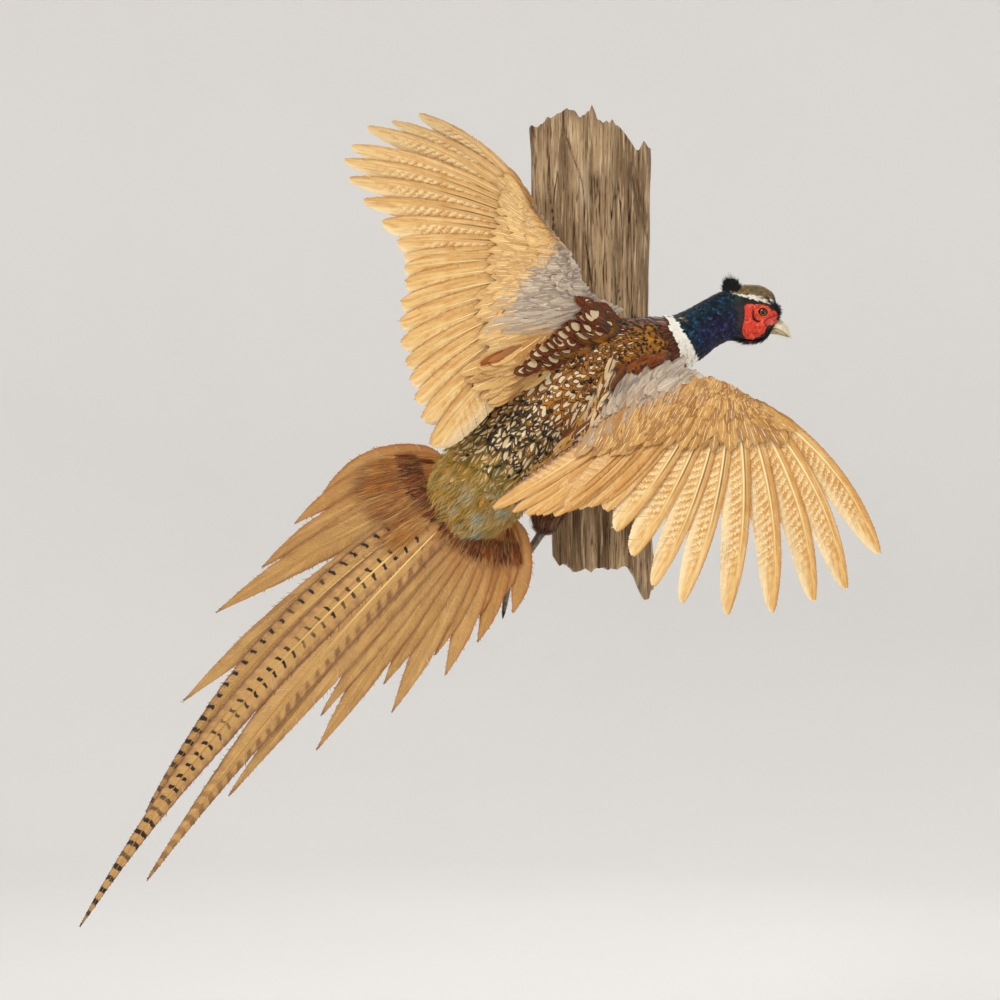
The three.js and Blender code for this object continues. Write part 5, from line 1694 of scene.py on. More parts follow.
def rump_look(places, angles, points):
    count = len(places)
    some, about = draws(8, count)
    patchy = lumps(points, 0.011, 41)
    silvery = within(angles, 16, 104, 18) * ramp(patchy + about(0.3), -0.1, 0.3)
    silvery = silvery * ramp(places, 0.9, 1.4) * ramp(np.abs(patchy), 0.05, 0.25)
    rusty = ramp(places, 1.6, 0.7) * ramp(angles, 62, 84)
    ground = layered(count, ("moss", 1), ("olive", ramp(patchy, -0.5, 0.4)),
                     ("slate", silvery * 0.5), ("chestnut", rusty * 0.4), ("soot", some(-1.6, 0.9)))
    # Slate on the lower right side by the tail's root: partly the rump's own slate and partly painted shade.
    tip = layered(count, ("olive", 1), ("gold", some(0, 1.2) * ramp(patchy, -0.9, 0.2)),
                  ("buff", some(-1.0, 0.9)), ("silver", silvery),
                  ("amber", rusty * some(0.1, 1)),
                  ("slate", within(angles, 5, 35, 8) * within(places, 0.5, 1.6, 0.2)))
    return {"ground": ground, "tip": tip}


def vent_look(places, angles, points):
    count = len(places)
    some, _ = draws(9, count)
    return {"ground": layered(count, ("thigh", 1)),
            "tip": layered(count, ("vent", 1), ("rust", some(0, 0.6)))}


hair_patch("coat_rump", 0.35, 2.75, 0.0047, lambda p, a: on_back(a), 0.022, 0.0038, 0.0056, rump_look, 77,
           strands=8, lie=scruffy(4, 0.26), thick=0.00046, curl=0.15)
hair_patch("coat_vent", 0.1, 2.1, 0.0062, lambda p, a: 1 - on_back(a), 0.024, 0.0045, 0.004, vent_look, 78)


def fringe_look(places, angles, points):
    count = len(places)
    some, _ = draws(10, count)
    # Slate and soot darken the bird's right, lower side: partly the rump's own slate and partly painted
    # shade.
    right = ramp(angles, 75, 45)
    ground = layered(count, ("olive", 1), ("amber", some(0, 0.6)), ("slate", right * 0.6))
    tip = layered(count, ("amber", 1), ("rust", some(0, 1)), ("olive", some(-0.4, 0.7)),
                  ("maroon", ramp(places, 0.7, 0.1) * some(0, 1)),
                  ("soot", right * some(0, 1)))
    return {"ground": ground, "tip": tip}


hair_patch("coat_rump_fringe", 0.05, 0.95, 0.0040, lambda p, a: on_back(a), 0.030, 0.0044, 0.0052,
           fringe_look, 79, strands=9, lie=scruffy(5, 0.2), thick=0.00036)

# ---- feathers over the wing roots ------------------------------------------------------------------------
# Scapulars and coverts that lie over the joins of body, wings and tail, laid on whatever is beneath them.
# On the left they are broad, maroon-rimmed with cream centres; on the right long, buff with dark streaks.


def room_tree(*pieces):
    """Everything in these pieces as one surface to lay feathers on."""
    points, faces, count = [], [], 0
    for piece in pieces:
        piece.data.calc_loop_triangles()
        corners = np.empty(len(piece.data.loop_triangles) * 3, np.int32)
        piece.data.loop_triangles.foreach_get("vertices", corners)
        points.append(points_of(piece))
        faces.append(corners.reshape(-1, 3) + count)
        count += len(points[-1])
    return BVHTree.FromPolygons(np.concatenate(points).tolist(), np.concatenate(faces).tolist())


def drape(tree, tips, ways, length, clear=0.0012, steps=7, stiff=0.5):
    """Lines that end at these tips (X, Z) and run back against their ways, resting on what lies beneath."""
    shares = np.linspace(0, 1, steps)
    length = np.broadcast_to(length, len(tips))
    spots = tips[:, None] - ways[:, None] * (length[:, None] * (1 - shares))[..., None]
    lines = np.zeros((len(tips), steps, 3))
    for index in range(len(tips)):
        for step in range(steps):
            x, z = spots[index, step]
            hit = tree.ray_cast(Vector((x, -0.5, z)), Vector((0, 1, 0)))[0]
            lines[index, step] = (x, hit[1] if hit else np.nan, z)
        depth = lines[index, :, 1]
        known = ~np.isnan(depth)
        if not known.any():
            depth[:] = lines[index - 1, :, 1]
        else:
            depth[:] = np.interp(np.arange(steps), np.flatnonzero(known), depth[known])
        # No feather dives steeply to what lies far behind the surface it rests on.
        slack = (0.8 * length[index] / (steps - 1)
                 * np.abs(np.subtract.outer(np.arange(steps), np.arange(steps))))
        depth[:] = (depth[None] + slack).min(1)
        straight = np.linspace(depth[0], depth[-1], steps)
        level = depth * (1 - stiff) + straight * stiff
        depth[:] = np.minimum(level, depth) - clear
    return lines, np.broadcast_to(ROOMWARD, lines.shape).copy()


def placed_rows(edge, ways, step, rows, count, seed, jitter=0.0014):
    """Tips in staggered rows: the first along the edge (mm), each next one step further in."""
    random = np.random.default_rng(seed)
    edge, ways = np.array(edge, float) * 0.001, np.array(ways, float)
    tips, leans, levels = [], [], []
    for row in range(rows):
        share = (np.arange(count) + 0.5 * (row % 2) + 0.25) / (count + 0.5) * (len(edge) - 1)
        way = unit(spline(ways, share) + random.normal(0, 0.09, (count, 2)))
        tips.append(spline(edge, share) - way * step * row + random.normal(0, jitter, (count, 2)))
        leans.append(way)
        levels.append(np.full(count, row))
    return np.concatenate(tips), np.concatenate(leans), np.concatenate(levels)


def draped_feathers(name, tree, tips, ways, length, width, lift, numbers, seed, slot="body_feathers",
                    finish=None, **shape):
    """One tract of small feathers laid over what is beneath."""
    random = np.random.default_rng(seed)
    lines, outs = drape(tree, tips, ways, length * random.uniform(0.9, 1.1, len(tips)))
    piece = lay_feathers(name, lines, outs, width * random.uniform(0.88, 1.12, len(tips)), lift,
                         finish or contour, (tips + 0.3) * 1.6, seed, numbers=numbers, **shape)
    rest(piece, slot)
    return piece


def draped_strands(name, tree, tips, ways, length, spread, lift, numbers, seed, slot="body_feathers",
                   clear=0.001, strands=8, thick=0.0004, rows=4):
    """One tract of hair-like feathers laid over what is beneath."""
    random = np.random.default_rng(seed)
    lines, outs = drape(tree, tips, ways, length * random.uniform(0.8, 1.15, len(tips)), clear)
    piece = lay_strands(name, lines, outs, spread, lift, hair_like, (tips + 0.3) * 1.6, seed,
                        strands=strands, thick=thick, numbers=numbers, rows=rows)
    rest(piece, slot)
    return piece


right_tree = room_tree(skin, bpy.data.objects["wing_right_upper_coverts"])
# Golden coverts and a chestnut feather close the gap between the left wing's quills and the back.
base_tree = room_tree(skin, *(bpy.data.objects[f"wing_left_{kind}"] for kind in (
    "upper_coverts", "secondary_7", "secondary_8", "secondary_9", "secondary_10")))
tips, ways, levels = placed_rows([(-132, -30), (-120, -44), (-104, -58), (-96, -62)],
                                 [(-0.94, -0.34), (-0.86, -0.5), (-0.78, -0.62), (-0.72, -0.7)], 0.0095, 5,
                                 6, 414)
draped_feathers("wing_left_innermost_coverts", base_tree, tips, ways, 0.040, 0.0066, 0.0028,
                {"lilac": 0.0, "deep_gold_and_shade": np.random.default_rng(415).uniform(0, 0.5, len(tips))}, 415,
                slot="wing_feathers", finish=covert_mix, camber=0.12, ragged=0.03, shoulder=0.55)
tips, ways, levels = placed_rows([(-112, -22), (-108, -25)], [(-0.93, -0.36), (-0.9, -0.42)], 0.006, 2, 2,
                                 416)
draped_feathers("wing_left_chestnut_feathers", base_tree, tips, ways, 0.034, 0.0030, 0.0040,
                {"ground": SHADES["chestnut"][None].repeat(4, 0), "tip": SHADES["rust"][None].repeat(4, 0)},
                417, camber=0.16, finish=hair_like, shoulder=0.3)
# Small lilac coverts close the left shoulder's front edge over the arm.
tips, ways, levels = placed_rows([(-46, 57), (-42, 53), (-38, 48), (-33, 43)],
                                 [(-0.92, 0.3), (-0.95, 0.15), (-0.97, 0.0), (-0.97, 0.1)], 0.0050, 3, 6,
                                 418)
draped_feathers("wing_left_shoulder_coverts", base_tree, tips, ways, 0.013, 0.0036, 0.0026,
                {"lilac": np.ones(len(tips)), "deep_gold_and_shade": 0.0}, 419, slot="wing_feathers", finish=covert_mix,
                camber=0.12, ragged=0.03, shoulder=0.55)
left_tree = room_tree(skin, *(bpy.data.objects[f"wing_left_{kind}"]
                              for kind in ("upper_coverts", "innermost_coverts", "shoulder_coverts",
                                           "secondary_8", "secondary_9", "secondary_10")))
tips, ways, levels = placed_rows([(-12, 30), (-34, 14), (-58, -8), (-84, -36)],
                                 [(-0.86, 0.5), (-0.96, 0.22), (-1, 0.0), (-0.95, -0.3)], 0.0092, 3, 12,
                                 401)
draped_feathers("coat_left_scapulars", left_tree, tips, ways, 0.024, 0.0066, 0.0032,
                scapular_look(levels, levels, tips), 402, shoulder=0.5, camber=0.16)
tips, ways, levels = placed_rows([(-22, 40), (-10, 36), (3, 29)],
                                 [(-0.8, 0.55), (-0.85, 0.45), (-0.92, 0.3)], 0.0055, 3, 7, 403)
maroon_look = plain_look(len(tips), layered(len(tips), ("maroon", 1),
                                            ("chestnut", np.linspace(0, 0.9, len(tips)))), "black", "cream",
                         "chestnut", np.where(levels % 2 == 1, 0.50, 0.0), 0.06, 0.14, core_from=0.62)
draped_feathers("coat_left_shoulder", left_tree, tips, ways, 0.014, 0.0040, 0.0030, maroon_look, 404,
                camber=0.2)
# Lilac coverts run from the right wing's front edge inwards, their roots under the shoulder's rust feathers.
tips, ways, levels = placed_rows([(-6, -80), (10, -70), (28, -60), (46, -51)],
                                 [(-0.28, -0.96), (-0.48, -0.88), (-0.66, -0.75), (-0.8, -0.6)], 0.0064, 6,
                                 10, 420)
inner_coverts = draped_feathers("wing_right_inner_coverts", right_tree, tips, ways, 0.023, 0.0044, 0.0026,
                                # these coverts are painted a darker gold as shade
                                {"lilac": np.clip(1.15 - 0.35 * (levels == 0), 0, 1), "deep_gold_and_shade": 0.6}, 421,
                                slot="wing_feathers", finish=covert_mix, camber=0.12, ragged=0.03,
                                shoulder=0.5)
right_tree = room_tree(skin, inner_coverts, bpy.data.objects["wing_right_upper_coverts"])
tips, ways, levels = placed_rows([(4, -42), (18, -33), (31, -27), (43, -24)],
                                 [(-0.75, -0.65), (-0.8, -0.6), (-0.88, -0.45), (-0.95, -0.3)],
                                 0.0060, 3, 12, 405)
random = np.random.default_rng(406)
shoulder_look = plain_look(len(tips), layered(len(tips), ("chestnut", 1),
                                              ("rust", random.uniform(0, 1, len(tips))),
                                              ("maroon", random.uniform(-0.6, 1.0, len(tips)))), "black",
                           "buff", "rust", 0.0, 0.06, 0.08, tick=random.uniform(0, 1, len(tips)) > 0.5)
shoulder = draped_feathers("coat_right_shoulder", right_tree, tips, ways, 0.018, 0.0044, 0.0030,
                           shoulder_look, 407, camber=0.2)
right_tree = room_tree(skin, shoulder, inner_coverts, bpy.data.objects["wing_right_upper_coverts"])
tips, ways, levels = placed_rows([(-2, -56), (-10, -84), (-30, -98), (-50, -113), (-73, -129)],
                                 [(-0.35, -0.94), (-0.42, -0.91), (-0.55, -0.83), (-0.64, -0.77),
                                  (-0.7, -0.71)], 0.0085, 4, 15, 408)
count = len(tips)
inner = ramp(levels, 0.6, 2.6)
kind = random.uniform(0, 1, count)
dark_kind = (kind < 0.45 + 0.35 * inner) * 1.0
buff_ground = layered(count, ("gold", 1), ("tan", random.uniform(0.1, 1, count)),
                      ("cream", (kind > 0.8) * 0.6), ("maroon", dark_kind * 0.9))
streaked = layered(count, ("maroon", 1), ("soot", random.uniform(0, 0.5, count)),
                   ("cream", dark_kind * (kind > 0.3)))
right_look = plain_look(count, buff_ground, "black", streaked, "tan", random.uniform(0.18, 0.42, count),
                        0.04, 0.08 * inner, slender=random.uniform(1.6, 3.0, count))
draped_feathers("coat_right_scapulars", right_tree, tips, ways, 0.030, 0.0040, 0.0030, right_look, 409,
                camber=0.2, ragged=0.06, shoulder=0.4)
tail_tree = room_tree(*(piece for pieces in tail_pieces.values() for piece in pieces))


def tail_covert_tips(count, seed, side, near, far):
    """Scattered tips over the tail's root on one side, near and far metres from where the quills meet."""
    random = np.random.default_rng(seed)
    order = random.uniform(0.0, 6.0, count)
    tips, ways = np.zeros((count, 2)), np.zeros((count, 2))
    for index in range(count):
        curve, _ = tail_curve(side, order[index])
        size = curve_length(curve)
        along = along_curve(curve, np.array([(near + (far - near) * random.uniform() ** 1.7) / size]))[0]
        before = along_curve(curve, np.array([0.04 / size]))[0]
        tips[index], ways[index] = along[[0, 2]], unit((along - before)[[0, 2]])
    return tips, ways, order


for tail_side in ("left", "right"):
    tips, ways, order = tail_covert_tips(300, 420, tail_side, 0.032, 0.041)
    random = np.random.default_rng(421)
    dark_fringe = layered(len(tips), ("rust", 1), ("maroon", random.uniform(0, 1, len(tips))),
                          ("soot", random.uniform(-0.5, 0.9, len(tips))))
    draped_strands(f"tail_fringe_{tail_side}", tail_tree, tips, ways, 0.020, 0.0030, 0.0040,
                   {"ground": dark_fringe, "tip": dark_fringe}, 422, slot="body_feathers", strands=8,
                   thick=0.00032, clear=0.0022)
for tail_side, near, far, rusty in (("left", 0.050, 0.118, 1.0), ("right", 0.048, 0.070, 0.6)):
    tips, ways, order = tail_covert_tips(360, 411, tail_side, near, far)
    random = np.random.default_rng(412)
    count = len(tips)
    outer = ramp(order, 1.0, 2.6)
    ground = layered(count, ("amber", 1), ("gold", (1 - outer) * 0.5),
                     ("rust", outer * rusty * random.uniform(0, 1, count)))
    tip = layered(count, ("amber", 1), ("tan", random.uniform(0.1, 0.8, count)),
                  ((128, 80, 62), outer * rusty * random.uniform(-0.3, 0.8, count)),
                  ("rust", random.uniform(-0.5, 0.6, count)))
    draped_strands(f"tail_coverts_{tail_side}", tail_tree, tips, ways, 0.042, 0.0034, 0.0022,
                   {"ground": ground, "tip": tip}, 413, slot="tail_feathers", strands=8, thick=0.00038,
                   rows=5)

# ---- neck and head coat ------------------------------------------------------------------------------------
# A white ring parts the mantle from the glossy neck, whose small feathers turn from teal to violet. The head
# wears the smallest feathers: olive crown, white brow, black lores and throat, with two short ear tufts.

WATTLE_OUTLINE = np.array([
    (142.6, 39.8), (148.0, 40.6), (153.6, 40.4), (160.0, 40.2), (165.1, 39.2), (170.9, 35.9), (175.7, 31.1),
    (174.9, 26.3), (172.4, 21.2), (166.6, 18.9), (163.8, 16.7), (162.2, 12.3), (158.4, 7.8), (151.9, 4.3),
    (145.8, 5.2), (141.0, 12.0), (140.6, 18.0), (142.1, 24.4), (142.7, 32.0)]) * 0.001


def closed_curve(corners, count):
    """A smooth closed line through the corners."""
    wrapped = np.concatenate([corners[-1:], corners, corners[:2]])
    return spline(wrapped, 1 + np.arange(count) / count * len(corners))


wattle_edge = closed_curve(WATTLE_OUTLINE, 720)
edge_turn = np.arctan2(wattle_edge[:, 1] - EYE_AT[1], wattle_edge[:, 0] - EYE_AT[0])
edge_reach = np.hypot(wattle_edge[:, 1] - EYE_AT[1], wattle_edge[:, 0] - EYE_AT[0])
turn_order = np.argsort(edge_turn)


def wattle_reach(turn):
    """How far the wattle's edge is from the eye in each direction."""
    return np.interp(turn, edge_turn[turn_order], edge_reach[turn_order], period=2 * math.pi)


def inside_wattle(points, grow=0.0):
    turn = np.arctan2(points[:, 2] - EYE_AT[1], points[:, 0] - EYE_AT[0])
    reach = np.hypot(points[:, 2] - EYE_AT[1], points[:, 0] - EYE_AT[0])
    return (reach < wattle_reach(turn) + grow) & (np.abs(points[:, 1] - HEAD_MIDDLE) > 0.0045)


def iridescent_finish():
    vane = Finish("iridescent_feather", Roughness=0.34, Metallic=0.35)
    share, _ = vane.map("vane")
    along, aside = vane.map("barb")
    ground, gloss, tone = vane.painted("ground"), vane.painted("gloss"), vane.held("tone")
    barb = along - abs(aside) * 0.9
    barbs = vane.noise(vane.pack(barb, aside * 0.5), 40, 2, 0.6)
    # Each feather's tip takes a brighter copy of its colour at random: a painted sheen.
    colour = vane.mix(vane.ramp(share, 0.6, 0.9) * vane.ramp(tone, 0.1, 0.9), ground, gloss)
    colour = vane.over(
        colour, (vane.ramp(share, 0.5, 0.3), (10, 9, 12)),
        (vane.ramp(barbs, 0.5, 0.25) * 0.75, (6, 5, 9)))
    return vane.wear(colour, vane.ramp(barbs, -0.7, 1.3), barbs, 0.5, 0.0003)


iridescent = iridescent_finish()


def mirrored(angles):
    return np.where(angles > 180, 360 - angles, angles)


def neck_look(places, angles, points):
    random = np.random.default_rng(11)
    count = len(places)
    turn = mirrored(angles)
    tan_patch = np.exp(-((points[:, 0] - 0.089) / 0.005) ** 2 - ((points[:, 2] - 0.026) / 0.003) ** 2)
    base = layered(count, ("blue", 1), ("teal", within(turn, 95, 150, 22) * random.uniform(0.3, 1, count)),
                   ("teal", ramp(past_ring(points), 0.024, 0.010) * 0.75),
                   ("violet", within(turn, 35, 92, 18) * ramp(points[:, 0], 0.102, 0.116)
                    * random.uniform(0.3, 1, count)),
                   ("ink", ramp(turn, 30, 12) * 0.9), ("ink", ramp(turn, 152, 168) * 0.9),
                   ("green", ramp(turn, 140, 160) * 0.4))
    tanned = tan_patch > 0.45
    base = layered(count, (base, 1), ("tan", tanned * 0.75))
    # A brighter copy of the colour for the tips: painted sheen.
    gloss = layered(count, (base * 2.1 + 0.012, 1), ("violet", random.uniform(0, 0.5, count)),
                    ("teal", random.uniform(0, 0.5, count)), ("tan", tanned * 0.9))
    lit = random.uniform(0.2, 1.4, (count, 1)) ** 1.5
    return {"ground": base * 0.45 * lit, "gloss": np.clip(gloss * lit, 0, 1)}


def ring_look(places, angles, points):
    count = len(places)
    return plain_look(count, "white", "white", "white", "white")


patch("coat_neck_ring", 8.3, 10.3, 0.0036, lambda p,
      a: (np.abs(past_ring(body_point(p, np.radians(a))) - 0.0045)
          < ring_width(body_point(p, np.radians(a))) + 0.0005) * 1.0, 0.0090, 0.0026, 0.0020, ring_look, 81,
      rows=6, columns=5, slot="neck_feathers", ratio=0.7, reach=0.013)
patch("coat_neck", 8.6, 12.2, 0.0033, lambda p,
      a: (past_ring(body_point(p, np.radians(a))) > ring_width(body_point(p, np.radians(a)))
          + np.interp(body_point(p, np.radians(a))[:, 2], [0.0, 0.03], [0.0074, 0.0052])) * 1.0, 0.0082,
      0.0021, 0.0013, neck_look, 82, rows=6, columns=4, slot="neck_feathers", finish=iridescent, ratio=0.7)


def brow_line(points):
    """Height above the middle of the white brow, and the brow's half width there."""
    middle_line = np.interp(points[:, 0], [0.130, 0.138, 0.1526, 0.1718, 0.176],
                            [0.0515, 0.0503, 0.0468, 0.0412, 0.038])
    half = np.interp(points[:, 0], [0.134, 0.144, 0.153, 0.168, 0.175],
                     [0.0003, 0.0008, 0.0024, 0.0025, 0.0012])
    return points[:, 2] - middle_line, half


def head_look(places, angles, points):
    count = len(places)
    some, _ = draws(12, count)
    above, half = brow_line(points)
    along_x = points[:, 0]
    crown = ramp(above - half, 0.0000, 0.0008) * ramp(along_x, 0.128, 0.134)
    brow = ramp(half - np.abs(above), -0.0002, 0.0002) * ramp(along_x, 0.134, 0.140)
    purple = (np.exp(-((along_x - 0.135) / 0.008) ** 2 - ((points[:, 2] - 0.031) / 0.011) ** 2))
    violet = ramp(along_x, 0.140, 0.126) * within(mirrored(angles), 40, 120, 20)
    lores = ramp(along_x, 0.1715, 0.1745)
    ground = layered(count, ("ink", 1), ("blue", violet * 0.7), ("violet", violet * some(0, 0.9)),
                     ((56, 32, 38), purple * some(0.0, 1)),
                     ("green", ramp(above, -0.010, -0.004) * ramp(along_x, 0.150, 0.140) * 0.5),
                     ("ink", some(-0.8, 0.9) * (above < 0)),
                     ("crown", crown), ("amber", crown * some(0, 0.3)),
                     ("soot", crown * some(-0.2, 0.75)), ("brow", brow),
                     ("crown", brow * some(-0.9, 0.9)), ("ink", lores))
    # The tips take a brighter copy of the colour: painted sheen.
    return {"ground": ground, "gloss": np.clip(ground * 1.5, 0, 1)}


head_vane = Finish("head_feather", Roughness=0.5)
head_share, _ = head_vane.map("vane")
head_barbs = head_vane.noise(head_vane.pack(*head_vane.map("barb")), 30, 2)
# The tips are painted brighter as sheen.
head_colour = head_vane.mix(head_vane.ramp(head_share, 0.6, 0.95) * 0.6, head_vane.painted("ground"),
                            head_vane.painted("gloss"))
head_colour = head_vane.mix(head_vane.ramp(head_barbs, 0.5, 0.2) * 0.5, head_colour,
                            head_vane.mix(0.7, head_colour, (12, 9, 8)))
head_vane.wear(head_colour, head_vane.ramp(head_barbs, -0.4, 1.4), head_barbs, 0.4, 0.0003)


def bare_head(places, angles):
    points = body_point(places, np.radians(angles))
    mouth = (points[:, 0] > 0.1725) & (points[:, 2] < 0.0315)
    return (~inside_wattle(points, -0.0012) & ~mouth) * 1.0


patch("coat_head", 11.9, 15.98, 0.0022, bare_head, 0.0056, 0.00135, 0.0009, head_look, 83, rows=5,
      columns=3, slot="head_skin", finish=head_vane.material, ratio=0.72)


def from_side(points_xz, side):
    """Where lines straight in from one side meet the skin, and the way out there."""
    found, out = np.empty((len(points_xz), 3)), np.empty((len(points_xz), 3))
    for index, (x, z) in enumerate(points_xz):
        start = Vector((x, HEAD_MIDDLE + side * 0.08, z))
        place, way, _, _ = skin_tree.ray_cast(start, Vector((0, -side, 0)))
        if place is None:
            place, way, _, _ = skin_tree.find_nearest(Vector((x, HEAD_MIDDLE + side * 0.008, z)))
        found[index] = place
        out[index] = way
    return found, out


# The black bristles' paler strands take a bluish grey: a painted sheen.
bristle_painted_sheen = strand_finish("black_bristle", (52, 58, 66))


def bristles(name, marks, ways, lengths, count, seed, spread=0.0006, out_lean=0.35, strands=4,
             thick=0.00016, scatter=0.0007, depth=0.0):
    """Fine tufts along a line of marks on both sides of the head. ways and lengths follow the marks."""
    random = np.random.default_rng(seed)
    share = np.sort(random.uniform(0, len(marks) - 1, count))
    spots = spline(marks, share) * 0.001 + random.normal(0, scatter, (count, 2))
    lean = spline(ways, share)
    reach = spline(lengths, share) * 0.001 * random.uniform(0.7, 1.25, count)
    lines, outs = [], []
    for side in (-1, 1):
        root, out = from_side(spots, side)
        root = root - out * depth
        way = unit(np.stack([lean[:, 0], out[:, 1] * 0 + side * out_lean, lean[:, 1]], 1)
                   + random.normal(0, 0.13, (count, 3)))
        steps = np.linspace(0, 1, 6)[None, :, None]
        lines.append(root[:, None] + way[:, None] * steps * reach[:, None, None])
        outs.append(np.repeat(out[:, None], 6, 1))
    lines, outs = np.concatenate(lines), np.concatenate(outs)
    bake_at = np.stack([lines[:, 0, 0] * 4 % 1, lines[:, 0, 2] * 4 % 1], 1)
    colours = np.tile(SHADES["ink"], (len(lines), 1)) * random.uniform(0.6, 1.5, (len(lines), 1))
    piece = lay_strands(name, lines, outs, spread, 0.0004, bristle_painted_sheen, bake_at, seed, strands=strands,
                        thick=thick, numbers={"ground": colours, "tip": colours * 1.2}, curl=0.2, rows=4)
    rest(piece, "head_skin")
    return piece


# Ear tufts, brow and forehead bristles, the line behind the eye, and the throat's spiky edge.
bristles("ear_tufts", [(129, 52), (132, 55), (136, 53)], [(-0.45, 1), (-0.25, 1), (0.1, 1)], [11, 12, 9],
         110, 91, spread=0.0024, out_lean=0.1, strands=7, thick=0.00036, scatter=0.0015)
bristles("forehead_bristles", [(166, 42), (171, 38.5), (175.5, 35), (177.5, 30.5), (176.5, 26)],
         [(-0.6, 0.9), (0.3, 0.9), (0.9, 0.5), (1, 0.15), (0.6, -0.5)], [3.2, 4.4, 5.6, 5.2, 3.8], 170, 92,
         out_lean=0.5, thick=0.00020)
bristles("brow_line", [(143, 42.5), (153, 42.5), (163, 41.5), (168.5, 39.2)],
         [(-1, 0.2), (-1, 0.1), (-1, 0.15), (-1, 0.2)], [3.4, 3, 3, 3], 130, 93, out_lean=0.25)
bristles("throat_edge", [(172, 17), (166, 13), (163, 6), (157, 1), (149, -1.5), (141, 1), (137, 9)],
         [(-0.5, -0.8), (-0.6, -0.9), (-0.8, -0.9), (-0.9, -0.8), (-1, -0.6), (-1, -0.3), (-1, 0)],
         [4, 5, 5.5, 6, 6.6, 6.6, 5.5], 330, 94, out_lean=0.2, spread=0.001, strands=3,
         thick=0.0002)

# ---- wattles and lids --------------------------------------------------------------------------------------
# The bare red skin round each eye: velvety, set with small warts, deepest in its lower lobe and folded in
# front of the eye. It thickens into two lids that close round the eye in an almond.


def warts(across_x, along_z, size, seed):
    """Distance to the nearest of many scattered middles about size apart, as a share of size."""
    cell_x, cell_z = np.floor(across_x / size).astype(np.int64), np.floor(along_z / size).astype(np.int64)
    nearest = np.full(len(across_x), 9.0)
    for step_x in (-1, 0, 1):
        for step_z in (-1, 0, 1):
            cell = np.stack([cell_x + step_x, cell_z + step_z, np.zeros_like(cell_x)], 1) + 400
            mid_x = (cell_x + step_x + 0.5 + 0.7 * (lattice(cell, seed) - 0.5)) * size
            mid_z = (cell_z + step_z + 0.5 + 0.7 * (lattice(cell, seed + 1) - 0.5)) * size
            nearest = np.minimum(nearest, np.hypot(across_x - mid_x, along_z - mid_z) / size)
    return nearest


def line_nearness(x, z, corners, width):
    """1 on a broken line through the corners, falling off over width."""
    samples = spline(np.array(corners) * 0.001, np.linspace(0, len(corners) - 1, 40))
    distance = np.sqrt(((x[:, None] - samples[:, 0]) ** 2 + (z[:, None] - samples[:, 1]) ** 2).min(1))
    return np.exp(-(distance / width) ** 2)


SOCKET_EDGE = 0.0068               # from the eye's centre to where the skin lies on solid ground
LID_OPEN = (0.0044, 0.0037)
LID_TILT = math.radians(-12)


def lid_point(turn):
    """The edge of the lids round the eye: an almond tilted down towards the bill."""
    wide = LID_OPEN[0] * np.cos(turn)
    tall = LID_OPEN[1] * np.sin(turn) * (1 - 0.22 * np.cos(turn) ** 4)
    return (EYE_AT[0] + wide * math.cos(LID_TILT) - tall * math.sin(LID_TILT),
            EYE_AT[1] + wide * math.sin(LID_TILT) + tall * math.cos(LID_TILT))


